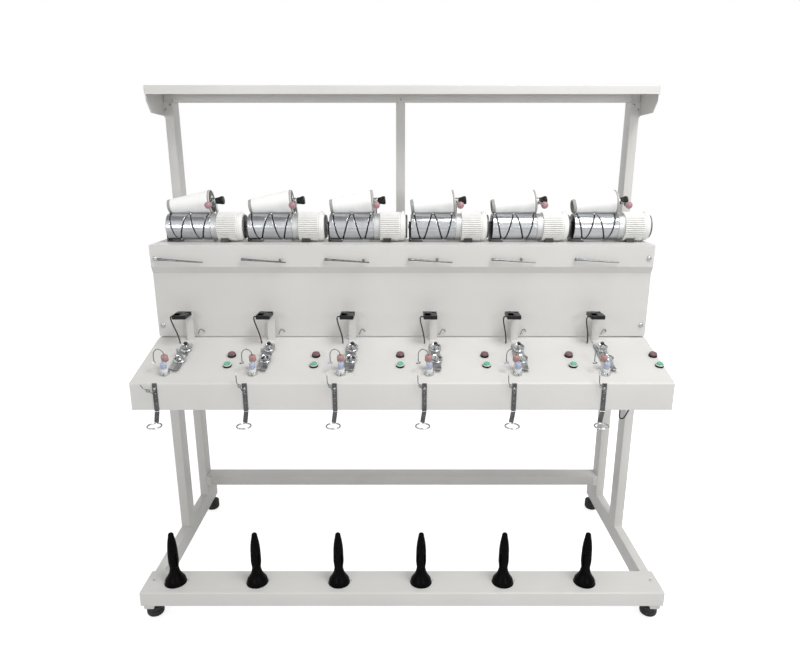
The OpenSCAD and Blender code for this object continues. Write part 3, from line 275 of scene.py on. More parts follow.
# The loop hangs straight down, turns on a round bend and climbs back along the bend's tangent
bend = np.array([LOOP_X[0] + LOOP_BEND, LOOP_BEND - LOOP_DROP])
rise = np.array([LOOP_X[1], 0.0]) - bend
leave = 2 * np.pi + math.atan2(rise[1], rise[0]) - math.acos(LOOP_BEND / np.linalg.norm(rise))
turn = np.linspace(np.pi, leave, 15)
curve = bend + LOOP_BEND * np.stack([np.cos(turn), np.sin(turn)], -1)
fall = np.linspace([LOOP_X[0], 0.0], curve[0], 6)[:-1]
climb = np.linspace(curve[-1], [LOOP_X[1], 0.0], 6)[1:]
loop = np.concatenate([fall, curve, climb])
level = np.full(len(loop), LOOP_Y)
laid_cord("console_loop", np.stack([loop[:, 0], level, CONSOLE_LOW_Z + loop[:, 1]], -1))

# Frame. Rectangular steel tube, 38 by 75 mm for the base, legs and posts and lighter for the rails,
# welded, with sheet caps at the open ends. Drawn corners catch the light along every edge.
TUBE_W = 0.038
TUBE_CORNER = 0.004
RAIL_CORNER = 0.003
CORNER_STEPS = 6
CROSSBAR_Z = (0.191, 0.238)
MID_RAIL_Z = (1.337, 1.375)
TOP_RAIL_Z = 1.965
LAP_W = 0.023
LAP_T = 0.003
LAP_LONG = 0.040


def prism(outline, low, high, along):
    """An outline carried straight from low to high along one axis; it lies in the other two."""
    outline = np.asarray(outline, float)
    points = np.empty((2, len(outline), 3))
    points[..., [axis for axis in range(3) if axis != along]] = outline
    points[0, :, along] = low
    points[1, :, along] = high
    return points, "capped"


def rounded_box(low, high, along, corner):
    """A bar between two corners; its section is a rectangle whose corners are quarter circles."""
    low, high = np.asarray(low, float), np.asarray(high, float)
    across = [axis for axis in range(3) if axis != along]
    turn = np.linspace(0, np.pi / 2, CORNER_STEPS)
    angle = (np.arange(4)[:, None] * np.pi / 2 + turn).ravel()
    corners = np.repeat([[1, 1], [-1, 1], [-1, -1], [1, -1]], CORNER_STEPS, axis=0)
    middle, half = (low + high)[across] / 2, (high - low)[across] / 2
    rounding = corner * np.stack([np.cos(angle), np.sin(angle)], -1)
    outline = middle + corners * (half - corner) + rounding
    return prism(outline, low[along], high[along], along)


def both_ends(shell):
    """A shell and its mirror image at the machine's other end."""
    points, closing = shell
    return [shell, (points * [-1, 1, 1], closing)]


# Polyester powder coat on steel, baked: a light warm grey whose film levels into a fine orange
# peel, so highlights stay soft, and clouds slightly where it is thicker or has been handled
coat = empty_material("powder_coat")
where = add(coat, "ShaderNodeTexCoord", {}, "Object")
clouds = add(coat, "ShaderNodeTexNoise", {"Vector": where, "Scale": 1 / 0.30, "Detail": 3.0})
tint = add(
    coat, "ShaderNodeValToRGB", {"Fac": clouds, "stops": [(0.35, "#D2D1CE"), (0.65, "#D7D6D3")]})
worn = add(coat, "ShaderNodeTexNoise", {"Vector": where, "Scale": 1 / 0.05, "Detail": 5.0})
dull = add(coat, "ShaderNodeMapRange", {"Value": worn, "To Min": 0.34, "To Max": 0.50})
# Real orange peel is 1 to 2 mm across; 4 mm is the finest that shows here
peel = add(coat, "ShaderNodeTexNoise", {"Vector": where, "Scale": 1 / 0.004, "Detail": 1.0})
relief = add(coat, "ShaderNodeBump", {"Height": peel, "Distance": 0.00008, "Strength": 0.6})
shader = add(coat, "ShaderNodeBsdfPrincipled", {
    "Base Color": tint, "Roughness": dull, "Normal": relief,
    "Coat Weight": 0.1, "Coat Roughness": 0.25})
add(coat, "ShaderNodeOutputMaterial", {"Surface": shader})

out_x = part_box("base_side_tubes")[1].x
in_x = out_x - TUBE_W
for name, node, along in (
    ("base_tubes", "base_side_tubes", 1), ("front_uprights", "front_legs", 2),
    ("rear_uprights", "rear_posts", 2),
):
    low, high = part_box(node)
    tubes = both_ends(rounded_box((in_x, low.y, low.z), high, along, TUBE_CORNER))
    piece(name, tubes, coat, "coat", "frame", node)
leg_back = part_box("front_legs")[1].y
low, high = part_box("rear_posts")
post_front, post_back, rail_top = low.y, high.y, high.z
low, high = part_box("centre_post")
post_x = (low.x + high.x) / 2
piece(
    "centre_upright",
    [
        rounded_box((low.x, post_front, low.z), (high.x, high.y, TOP_RAIL_Z), 2, RAIL_CORNER),
        rounded_box(
            (post_x - LAP_W / 2, low.y, high.z - LAP_LONG),
            (post_x + LAP_W / 2, post_front, high.z), 1, 0.002),
    ],
    coat, "coat", "frame", "centre_post",
)
rail_back = post_front + TUBE_W
piece(
    "rails",
    [
        *(rounded_box((-in_x, post_front, foot), (in_x, back, top), 0, RAIL_CORNER)
          for foot, back, top in (
              (CROSSBAR_Z[0], post_back, CROSSBAR_Z[1]), (MID_RAIL_Z[0], rail_back, MID_RAIL_Z[1]),
              (TOP_RAIL_Z, rail_back, rail_top))),
        *both_ends(rounded_box(
            (in_x, leg_back, MID_RAIL_Z[0]), (out_x, post_front, MID_RAIL_Z[1]), 1, RAIL_CORNER)),
        *both_ends(rounded_box(
            (in_x - LAP_W, post_front - LAP_T, CROSSBAR_Z[0]),
            (in_x, post_front, CROSSBAR_Z[1]), 1, 0.001)),
    ],
    coat, "coat", "frame", "frame_rails",
)

# Feet. Moulded rubber levelling feet with a rounded tread, on zinc-plated studs with jam nuts.
FOOT_R = 0.033
FOOT_H = 0.046
FOOT_ROUND = 0.015
TREAD = 0.0015
FOOT_X = out_x - TUBE_W / 2
FOOT_Y = (-0.380, 0.411)


def turned(profile, at, axes=np.eye(3), steps=48, closing="capped"):
    """A profile of radius and height turned round an axis that starts at a point.

    The rows of axes are the two directions square to the axis, then the axis.
    """
    profile = np.asarray(profile, float)
    turn = np.linspace(0, 2 * np.pi, steps, endpoint=False)
    flat = np.stack([np.cos(turn), np.sin(turn)], -1)
    around = profile[:, None, :1] * flat[None]
    rise = np.broadcast_to(profile[:, None, 1:], (*around.shape[:2], 1))
    return np.concatenate([around, rise], -1) @ np.asarray(axes) + np.asarray(at, float), closing


def arc(middle, radius, start, end, steps):
    """Profile points on a circle, from one angle to another in degrees."""
    angle = np.radians(np.linspace(start, end, steps))
    return [
        [middle[0] + radius * c, middle[1] + radius * s]
        for c, s in zip(np.cos(angle), np.sin(angle))]


# Moulded natural rubber: matt, near black, slightly dusty in patches
rubber = worn_finish(
    "moulded_rubber", 0.015, 4.0, [(0.35, "#111112"), (0.75, "#262627")],
    0.62, bumps=(0.003, 2.0, 0.0001, 0.5))

# Bright zinc plating on turned or pressed steel: cool grey metal with a faint rainbow dulled to
# cloudy grey, and fine turning marks round it
plated = worn_finish(
    "bright_zinc_plate", 0.012, 4.0, [(0.3, "#A9ABAE"), (0.7, "#C9CBCD")],
    (0.16, 0.34), {"Metallic": 1.0})


def dressed_node(node, material):
    """A CAD node whose shape is right, kept and given its material."""
    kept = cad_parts[node]
    if not kept.material_slots:
        kept.data.materials.append(material)
    for place in kept.material_slots:
        place.material = material


foot_profile = [[0.004, 0.0]] + arc((FOOT_R - FOOT_ROUND, FOOT_ROUND), FOOT_ROUND, -90, 0, 9)
foot_profile += [[FOOT_R, 0.028], [FOOT_R - TREAD, 0.0290], [FOOT_R - TREAD, 0.0305],
    [FOOT_R, 0.0315]]
foot_profile += arc((FOOT_R - 0.003, FOOT_H - 0.003), 0.003, 0, 90, 5) + [[0.009, FOOT_H]]
piece(
    "feet",
    [turned(foot_profile, (side * FOOT_X, y, 0)) for side in (-1, 1) for y in FOOT_Y],
    rubber, "foot_rubber", "frame", "rubber_feet",
)
dressed_node("foot_studs", plated)

# Drum beam. A square section box beam, folded and welded, that carries every drum, motor and arm.
low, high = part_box("drum_beam")
piece("beam", [rounded_box(low, high, 0, RAIL_CORNER)], coat, "coat", "frame", "drum_beam")

# Top shelf. Sheet folded into a tray turned upside down, on two gusset plates that are screwed to
# the rear posts through folded tabs.
SHEET = 0.002
FOLD_R = 0.004
FOLD_STEPS = 6
GUSSET_T = 0.003
GUSSET_LOW_Z = 1.910
EDGE_BREAK = 0.0008
FINE_BREAK = 0.0004
SHEET_GAP = 0.0005


def folded(corners, fold=FOLD_R, thick=SHEET):
    """The section of a folded sheet: a path through corners with each fold on an arc, and back.

    Each arc starts the fold's radius times the tangent of half its turn before the corner. The way
    back runs a sheet's thickness to the path's right.
    """
    corners = np.asarray(corners, float)
    a, b, c = corners[:-2], corners[1:-1], corners[2:]
    come, leave = unit(b - a), unit(c - b)
    turn = np.arctan2(come[:, 0] * leave[:, 1] - come[:, 1] * leave[:, 0], (come * leave).sum(1))
    start = b - come * (fold * np.tan(np.abs(turn) / 2))[:, None]
    bent = turn[:, None] * np.linspace(0, 1, FOLD_STEPS)[None]
    reach = fold / np.sign(turn)[:, None]
    ahead, aside = np.sin(bent) * reach, (1 - np.cos(bent)) * reach
    normal = np.stack([-come[:, 1], come[:, 0]], -1)
    bends = start[:, None] + ahead[..., None] * come[:, None] + aside[..., None] * normal[:, None]
    path = np.concatenate([corners[:1], bends.reshape(-1, 2), corners[-1:]])
    way = unit(np.gradient(path, axis=0))
    back = path + thick * np.stack([way[:, 1], -way[:, 0]], -1)
    return np.concatenate([path, back[::-1]])


low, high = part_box("top_shelf")
shelf_section = folded([[low.y, low.z], [low.y, high.z], [high.y, high.z], [high.y, low.z]])
inner = [[low.y + SHEET, low.z], [low.y + SHEET, high.z - SHEET], [high.y - SHEET, high.z - SHEET],
    [high.y - SHEET, low.z]]
piece(
    "shelf",
    [
        prism(shelf_section, low.x + SHEET_GAP, high.x - SHEET_GAP, 0),
        *both_ends(prism(inner, high.x - SHEET, high.x, 0)),
    ],
    coat, "coat", "frame", "top_shelf",
)


def softened(made, width):
    """Breaks a piece's sharp edges with a narrow bevel."""
    bevel = made.modifiers.new("broken_edges", "BEVEL")
    bevel.width = width
    bevel.segments = 2
    bevel.limit_method = "ANGLE"
    bevel.angle_limit = math.radians(40)
    return made


low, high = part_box("shelf_gussets")
side_outline = [[low.y, high.z], [low.y, 1.958], [low.y + 0.044, 1.914],
    [post_front - GUSSET_T, GUSSET_LOW_Z], [post_back, GUSSET_LOW_Z], [post_back, high.z]]
tab_outline = [[high.x, TOP_RAIL_Z], [in_x, TOP_RAIL_Z], [in_x, low.z], [high.x, GUSSET_LOW_Z]]
softened(
    piece(
        "gussets",
        both_ends(prism(side_outline, out_x, high.x, 0))
        + both_ends(prism(tab_outline, post_front - GUSSET_T, post_front, 1)),
        coat, "coat", "frame", "shelf_gussets",
    ),
    EDGE_BREAK,
)

# Creel shelf. A folded sheet shelf across the base tubes, with a hole beside each peg for its yarn.
CREEL_T = 0.0025
PEG_SHIFT = 0.038
PEG_Y = -0.3775
YARN_HOLE_R = 0.003
YARN_HOLE_SHIFT = 0.046
HOLE_Y = PEG_Y + 0.009

low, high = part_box("creel_shelf")
top_z = high.z
creel_section = folded([[low.y, low.z], [low.y, high.z], [high.y, high.z]], 0.005, CREEL_T)
creel = piece(
    "creel",
    [
        prism(creel_section, low.x, high.x, 0),
        rounded_box(
            (SHEET_GAP - in_x, high.y - CREEL_T, low.z),
            (in_x - SHEET_GAP, high.y, high.z - SHEET_GAP), 0, 0.001),
    ],
    coat, "coat", "frame", "creel_shelf",
)


def drilled(made, centres, radius, depth, axes=np.eye(3)):
    """Drills round holes through a piece: a cutter for each centre, taken away at once."""
    cutter_profile = [[radius, -depth], [radius, depth]]
    drills = [turned(cutter_profile, centre, axes, 24) for centre in centres]
    cutters = piece("drill", drills, coat, "coat", "frame")
    cut = made.modifiers.new("drilled", "BOOLEAN")
    cut.object = cutters
    cut.solver = "EXACT"
    with bpy.context.temp_override(object=made, active_object=made, selected_objects=[made]):
        bpy.ops.object.modifier_apply(modifier=cut.name)
    bpy.data.objects.remove(cutters)
    made.data.set_sharp_from_angle(angle=math.radians(30))


drilled(
    creel, [(x + PEG_SHIFT + YARN_HOLE_SHIFT, HOLE_Y, top_z) for x in HEAD_X], YARN_HOLE_R, 0.006)

# Package pegs. Black moulded phenolic: a bell base with a swelling stem that has four deep slots,
# screwed down through the shelf from below. The supply package is pushed over the stem.
PEG_SLOT_W = 0.007
PEG_SLOT_DEEP = 0.005
PEG_SLOT_EDGE = 0.0007
PEG_SLOT_Z = (0.072, 0.134)
PEG_OUTLINE = [[0.0005, 0.0], [0.0395, 0.0], [0.0408, 0.001], [0.041, 0.0025], [0.0410, 0.004],
    [0.0402, 0.007], [0.0393, 0.013], [0.0373, 0.018], [0.0344, 0.0220], [0.0316, 0.0265],
    [0.0287, 0.031], [0.0238, 0.040], [0.0205, 0.049], [0.0185, 0.058], [0.0171, 0.066],
    [0.0176, 0.074], [0.0189, 0.084], [0.0198, 0.092], [0.0200, 0.098], [0.0198, 0.112],
    [0.0194, 0.130], [0.0188, 0.150], [0.0160, 0.177], [0.0128, 0.195], [0.0110, 0.205],
    [0.0104, 0.2105], [0.0086, 0.2145], [0.0050, 0.2172], [0.0005, 0.218]]


def step_between(value, start, end):
    """Zero before start, one after end, with a smooth S between."""
    t = np.clip((value - start) / (end - start), 0, 1)
    return t * t * (3 - 2 * t)


def slotted_peg(at):
    """The outline turned upright; in a slot's height and width the radius drops by its depth."""
    outline = smooth(PEG_OUTLINE, 4)
    turn = np.linspace(0, 2 * np.pi, 144, endpoint=False)
    radius = np.repeat(outline[:, :1], len(turn), axis=1)
    rise = np.repeat(outline[:, 1:], len(turn), axis=1)
    off = (turn[None] + np.pi / 4) % (np.pi / 2) - np.pi / 4
    aside = np.abs(radius * np.sin(off))
    within = 1 - step_between(aside, PEG_SLOT_W / 2 - PEG_SLOT_EDGE, PEG_SLOT_W / 2 + PEG_SLOT_EDGE)
    ends = step_between(rise, PEG_SLOT_Z[0] - 0.001, PEG_SLOT_Z[0] + 0.002)
    ends = ends * (1 - step_between(rise, PEG_SLOT_Z[1] - 0.002, PEG_SLOT_Z[1] + 0.001))
    radius = radius - PEG_SLOT_DEEP * within * ends
    angle = turn[None] + np.pi / 4
    return np.stack([radius * np.cos(angle), radius * np.sin(angle), rise], -1) + at, "capped"


# Phenolic moulded against polished steel: deep black and glossy, with a faint ripple and dust
phenolic = worn_finish(
    "moulded_phenolic", 0.02, 5.0, [(0.4, "#050505"), (0.8, "#0D0D0D")],
    (0.22, 0.38), {"Specular IOR Level": 0.04}, bumps=(0.012, 1.0, 0.0003, 0.3))

piece(
    "pegs",
    [slotted_peg((x + PEG_SHIFT, PEG_Y, top_z)) for x in HEAD_X],
    phenolic, "gloss_black", "frame", "creel_pegs", sharp=50,
)

# Console. Sheet folded over its front edge and over the back of the slope, closed by welded end
# plates. Its floor sheet and two support arms below are made as they are in the frame.
CONSOLE_BACK_Y = 0.016
SLOPE_END_Y = -0.078
CONSOLE_TOP_Z = 1.049
CONSOLE_FOLD_R = 0.008
PLATE_INSET = 0.0015
PLATE_GAP = 0.0004
cover_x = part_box("console_shell")[1].x
console_path = [[CONSOLE_FRONT, CONSOLE_LOW_Z], [CONSOLE_FRONT, CONSOLE_EDGE_Z],
    [SLOPE_END_Y, CONSOLE_TOP_Z], [CONSOLE_BACK_Y, CONSOLE_TOP_Z]]
console_section = folded(console_path, CONSOLE_FOLD_R)
sheet_line = console_section[: len(console_section) // 2]
end_plate = np.concatenate([
    sheet_line[:-1] + [[PLATE_INSET, -PLATE_INSET]],
    [[CONSOLE_BACK_Y, CONSOLE_TOP_Z - PLATE_INSET], [CONSOLE_BACK_Y, CONSOLE_LOW_Z]]])
piece(
    "console",
    [
        prism(console_section, -cover_x, cover_x, 0),
        *both_ends(prism(end_plate, cover_x - SHEET, cover_x - PLATE_GAP, 0)),
    ],
    coat, "coat", "frame", "console_shell",
)
dressed_node("console_floor", coat)

# Back panel. A folded sheet with a proud flange at the top, hung in front of the legs and bolted
# through at both ends. Its lower edge stops just above the console and leaves a dark line.
FLANGE_Y = -0.082
PANEL_Y = -0.068
PANEL_LIFT = 0.003
FLANGE_Z = 1.336
STRIP_Z = 1.310
PANEL_END_Z = 1.3745
low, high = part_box("back_panel")
panel_foot = low.z + PANEL_LIFT
panel_path = [[PANEL_Y, panel_foot], [PANEL_Y, STRIP_Z], [FLANGE_Y, FLANGE_Z], [FLANGE_Y, high.z]]
panel_section = folded(panel_path, 0.004)
panel_end = [[PANEL_Y + 0.001, panel_foot], [PANEL_Y + 0.001, STRIP_Z],
    [FLANGE_Y + 0.001, FLANGE_Z], [FLANGE_Y + 0.001, PANEL_END_Z], [high.y, PANEL_END_Z],
    [high.y, panel_foot]]
piece(
    "panel",
    [
        prism(panel_section, low.x, high.x, 0),
        *both_ends(prism(panel_end, high.x - SHEET, high.x - PLATE_GAP, 0)),
    ],
    coat, "coat", "frame", "back_panel",
)

# Drum motors. Die-cast aluminium housings with cooling fins, a rounded end cap and a nub for the
# lead, enamelled off-white; the dark end disc is painted shade. Each stands on a slanted cast foot.
DRUM_Y = 0.038
DRUM_Z = 1.4785
MOTOR_X = 0.1975
MOTOR_LEN = 0.081
MOTOR_R = 0.057
FIN_DEEP = 0.003
FIN_COUNT = 44
FIN_STEEP = 2.2
# Radii between which the fin hollows are darkened with painted shade
FIN_SHADE = (0.0542, 0.0552)
CAP_LEN = 0.020
NUB_X = 0.2885
NUB_UP = 0.050
TO_RIGHT = np.array([[0, 1, 0], [0, 0, 1], [1, 0, 0]])


def dirty_hollows(material, where, tint, dirt, deep, clean):
    """A colour that gives way to painted shade in the hollows of a round piece on the drums' axis.

    The distance from the axis is the length of a place's y and z from it. The colour is the tint
    from unshaded outwards, and blends into the shade colour on the way in to deep.
    """
    flat = add(
        material, "ShaderNodeMapping",
        {"Vector": where, "Location": (0, -DRUM_Y, -DRUM_Z), "Scale": (0, 1, 1)})
    radius = add(material, "ShaderNodeVectorMath", {"operation": "LENGTH", 0: flat}, "Value")
    share = add(
        material, "ShaderNodeMapRange", {"Value": radius, "From Min": deep, "From Max": clean})
    return add(
        material, "ShaderNodeMix", {"data_type": "RGBA", 0: share, 6: linear(dirt), 7: tint}, 2)


def finned_housing(x):
    """A barrel whose radius drops between the fins, and the smooth cap that closes it.

    The radius at an angle swings with the fins' cosine pushed towards a square wave, and the fins
    run out just before the cap.
    """
    barrel = [[0.0528, 0.0], [0.0555, 0.0], [0.0568, 0.0012], [MOTOR_R, 0.003]]
    barrel += [[MOTOR_R, h] for h in np.linspace(0.006, MOTOR_LEN - 0.006, 10)]
    cap = [[0.0545, MOTOR_LEN - 0.004], [0.0545, MOTOR_LEN - 0.001], [0.0568, MOTOR_LEN - 0.0005],
        [0.0570, MOTOR_LEN + 0.002], [0.0562, MOTOR_LEN + 0.003], [0.0556, MOTOR_LEN + 0.0035],
        [0.0554, MOTOR_LEN + 0.008], [0.0550, MOTOR_LEN + 0.0115], [0.0538, MOTOR_LEN + 0.0145],
        [0.0520, MOTOR_LEN + 0.0172], [0.0498, MOTOR_LEN + 0.0190], [0.0470, MOTOR_LEN + 0.0198],
        [0.0300, MOTOR_LEN + CAP_LEN]]
    outline = np.array(barrel + cap)
    turn = np.linspace(0, 2 * np.pi, FIN_COUNT * 10, endpoint=False)
    wave = np.clip(np.cos(FIN_COUNT * turn) * FIN_STEEP, -1, 1)
    finned = 1 - step_between(outline[:, 1], MOTOR_LEN - 0.0065, MOTOR_LEN - 0.0045)
    finned = finned * step_between(outline[:, 1], -0.001, 0.001)
    radius = outline[:, :1] - FIN_DEEP * finned[:, None] * (1 - wave[None]) / 2
    rise = np.repeat(outline[:, 1:], len(turn), axis=1)
    points = np.stack([radius * np.cos(turn), radius * np.sin(turn), rise], -1)
    points = points @ TO_RIGHT + (x + MOTOR_X, DRUM_Y, DRUM_Z)
    return (points[: len(barrel)], "capped"), (points[len(barrel) - 1 :], "capped")


# Stove enamel on cast aluminium: off-white, satin, with casting ripples under it. On the barrel the
# bottoms of the fins are painted grey as shade
enamel = empty_material("white_enamel_on_casting")
fin_enamel = empty_material("white_enamel_with_painted_fin_shade")
for material in (enamel, fin_enamel):
    where = add(material, "ShaderNodeTexCoord", {}, "Object")
    grime = add(material, "ShaderNodeTexNoise", {"Vector": where, "Scale": 1 / 0.04, "Detail": 5.0})
    tint = add(
        material, "ShaderNodeValToRGB",
        {"Fac": grime, "stops": [(0.3, "#E3E2DF"), (0.6, "#EFEEEC")]})
    if material == fin_enamel:
        # Painted shade: the fins' hollows turn grey towards their bottoms
        tint = dirty_hollows(material, where, tint, "#CFCFCC", *FIN_SHADE)
    ripple = add(
        material, "ShaderNodeTexNoise", {"Vector": where, "Scale": 1 / 0.005, "Detail": 3.0})
    relief = add(
        material, "ShaderNodeBump", {"Height": ripple, "Distance": 0.0002, "Strength": 0.3})
    shader = add(
        material, "ShaderNodeBsdfPrincipled",
        {"Base Color": tint, "Roughness": 0.42, "Normal": relief})
    add(material, "ShaderNodeOutputMaterial", {"Surface": shader})

# Black stoving enamel on cast brackets: satin black over a sand-cast skin, greyer where rubbed
black_enamel = worn_finish(
    "black_enamel_on_casting", 0.025, 5.0, [(0.35, "#161617"), (0.75, "#2B2B2C")],
    0.36, bumps=(0.003, 2.0, 0.00015, 0.6))

# Blackened mild steel sheet: a dark grey oiled oxide, semi-matt, with paler scuffs
oxide_steel = empty_material("blackened_steel_sheet")
where = add(oxide_steel, "ShaderNodeTexCoord", {}, "Object")
scuffs = add(
    oxide_steel, "ShaderNodeTexNoise",
    {"Vector": where, "Scale": 1 / 0.02, "Detail": 6.0, "Roughness": 0.6})
tint = add(
    oxide_steel, "ShaderNodeValToRGB",
    {"Fac": scuffs, "stops": [(0.35, "#4E4E4F"), (0.75, "#6A6A6B")]})
dull = add(oxide_steel, "ShaderNodeMapRange", {"Value": scuffs, "To Min": 0.50, "To Max": 0.32})
shader = add(
    oxide_steel, "ShaderNodeBsdfPrincipled",
    {"Base Color": tint, "Metallic": 0.6, "Roughness": dull})
add(oxide_steel, "ShaderNodeOutputMaterial", {"Surface": shader})

# Painted shade: the dark grey disc on each motor's end face stands for the face in shade
end_shade_profile = [[0.0005, 0.1010], [0.0440, 0.1010], [0.0460, 0.1012], [0.0460, 0.1060],
    [0.0452, 0.1072], [0.0430, 0.1080], [0.0370, 0.1080], [0.0355, 0.1066], [0.0210, 0.1066],
    [0.0195, 0.1078], [0.0120, 0.1078], [0.0005, 0.1078]]
hub_profile = [[0.0005, 0.1070], [0.0100, 0.1070], [0.0100, 0.1078], [0.0090, 0.1080],
    [0.0045, 0.1080], [0.0040, 0.1072], [0.0005, 0.1072]]
nub_profile = [[0.0045, 0.0], [0.0045, 0.0075], [0.0038, 0.0092], [0.0025, 0.0103],
    [0.0005, 0.0106]]
barrels, caps = zip(*(finned_housing(x) for x in HEAD_X))
nubs = [turned(nub_profile, (x + NUB_X, DRUM_Y, DRUM_Z + NUB_UP), steps=24) for x in HEAD_X]
piece("motor_barrels", barrels, fin_enamel, "motor_paint", "frame", "motor_housings", sharp=40)
piece("motor_caps", [*caps, *nubs], enamel, "motor_paint", "frame", "motor_housings", sharp=40)
for name, profile, steps, material, slot in (
    ("motor_end_discs_painted_shade", end_shade_profile, 64, oxide_steel, "black_cast"),
    ("motor_centres", hub_profile, 32, plated, "bright"),
):
    shells = [turned(profile, (x + MOTOR_X, DRUM_Y, DRUM_Z), TO_RIGHT, steps) for x in HEAD_X]
    piece(name, shells, material, slot, "frame", "motor_housings")
for node in ("motor_feet", "bearing_brackets", "pivot_brackets"):
    dressed_node(node, black_enamel)

# Winding drums. Turned aluminium, hard chromed and polished, with a crossing yarn groove that goes
# twice round on the way there and twice on the way back. A black plastic disc closes the left end,
# and a plain collar the motor end.
DRUM_R = 0.052
DRUM_LEN = 0.173
COLLAR_LEN = 0.024
GROOVE_W = 0.006
GROOVE_FLOOR_W = 0.003
GROOVE_DEEP = 0.005
# Radii between which the groove is darkened with painted shade
GROOVE_SHADE = (DRUM_R - GROOVE_DEEP * 0.95, DRUM_R - GROOVE_DEEP * 0.3)
GROOVE_TURNS = 2
GROOVE_MARGIN = 0.012
REVERSAL_SHARE = 0.96


def groove_depth(x, turn):
    """How deep the yarn groove is at places x along and turn round a drum.

    The groove's middle goes along by the arcsine of a sine of its way, which runs nearly even and
    turns back smoothly at the ends. The depth falls off with the distance to the nearest point of
    it on the unrolled surface, from the flat floor to the surface at half the groove's width.
    """
    t = np.linspace(0, 1, 560)
    swing = np.arcsin(REVERSAL_SHARE * np.sin(np.pi * (t - 0.5))) / np.arcsin(REVERSAL_SHARE)
    along = GROOVE_MARGIN + (DRUM_LEN - 2 * GROOVE_MARGIN) * (1 + swing) / 2
    least = np.full(x.shape, np.inf)
    for way in (1, -1):
        line = way * 2 * np.pi * GROOVE_TURNS * t
        for some in np.array_split(np.arange(len(t)), 8):
            off = (turn[..., None] - line[some] + np.pi) % (2 * np.pi) - np.pi
            near = np.hypot(x[..., None] - along[some], DRUM_R * off).min(-1)
            least = np.minimum(least, near)
    return GROOVE_DEEP * (1 - step_between(least, GROOVE_FLOOR_W / 2, GROOVE_W / 2 + 0.0003))


drum_rows = np.concatenate([
    [0.0, 0.0006], np.linspace(0.0016, DRUM_LEN - 0.0016, 176), [DRUM_LEN - 0.0006]])
drum_turn = np.linspace(0, 2 * np.pi, 240, endpoint=False)
drum_x, drum_angle = np.meshgrid(drum_rows, drum_turn, indexing="ij")
edge = np.minimum(drum_x, DRUM_LEN - drum_x)
rounded_off = 0.001 * (1 - step_between(edge, 0.0, 0.0014))
drum_radius = DRUM_R - rounded_off - groove_depth(drum_x, drum_angle)
drum_grid = np.stack(
    [drum_x, drum_radius * np.sin(drum_angle), drum_radius * np.cos(drum_angle)], -1)

# Hard chrome over turned aluminium, polished: a mirror slightly blurred along the turning marks,
# with a dull haze where yarn has run, and painted shade in dark grey down in the groove
chrome_drum = empty_material("polished_hard_chrome")
where = add(chrome_drum, "ShaderNodeTexCoord", {}, "Object")
haze = add(chrome_drum, "ShaderNodeTexNoise", {"Vector": where, "Scale": 1 / 0.03, "Detail": 4.0})
tint = add(
    chrome_drum, "ShaderNodeValToRGB", {"Fac": haze, "stops": [(0.3, "#BEC0C4"), (0.7, "#C9CBCE")]})
dull = add(chrome_drum, "ShaderNodeMapRange", {"Value": haze, "To Min": 0.16, "To Max": 0.26})
# Painted shade: dark grey down in the groove
tint = dirty_hollows(chrome_drum, where, tint, "#48484A", *GROOVE_SHADE)
lines = add(
    chrome_drum, "ShaderNodeMapping", {"Vector": where, "Scale": (1 / 0.0012, 1 / 0.05, 1 / 0.05)})
marks = add(chrome_drum, "ShaderNodeTexNoise", {"Vector": lines, "Scale": 1.0, "Detail": 2.0})
relief = add(chrome_drum, "ShaderNodeBump", {"Height": marks, "Distance": 0.00002, "Strength": 0.5})
shader = add(
    chrome_drum, "ShaderNodeBsdfPrincipled",
    {"Base Color": tint, "Metallic": 1.0, "Roughness": dull, "Normal": relief})
add(chrome_drum, "ShaderNodeOutputMaterial", {"Surface": shader})

# The collar is left as turned: aluminium with fine rings round it, paler and duller than the chrome
turned_metal = empty_material("turned_aluminium")
where = add(turned_metal, "ShaderNodeTexCoord", {}, "Object")
lines = add(
    turned_metal, "ShaderNodeMapping", {"Vector": where, "Scale": (1 / 0.0015, 1 / 0.05, 1 / 0.05)})
marks = add(turned_metal, "ShaderNodeTexNoise", {"Vector": lines, "Scale": 1.0, "Detail": 2.0})
tint = add(
    turned_metal, "ShaderNodeValToRGB",
    {"Fac": marks, "stops": [(0.3, "#C2C3C3"), (0.7, "#D6D7D7")]})
dull = add(turned_metal, "ShaderNodeMapRange", {"Value": marks, "To Min": 0.38, "To Max": 0.50})
shader = add(
    turned_metal, "ShaderNodeBsdfPrincipled",
    {"Base Color": tint, "Metallic": 0.8, "Roughness": dull})
add(turned_metal, "ShaderNodeOutputMaterial", {"Surface": shader})

# Moulded ABS and nylon fittings in black: satin, faintly textured
black_abs = worn_finish(
    "black_moulded_plastic", 0.018, 4.0, [(0.35, "#0B0B0C"), (0.75, "#161617")],
    0.34, {"Specular IOR Level": 0.3}, bumps=(0.003, 2.0, 0.00008, 0.5))

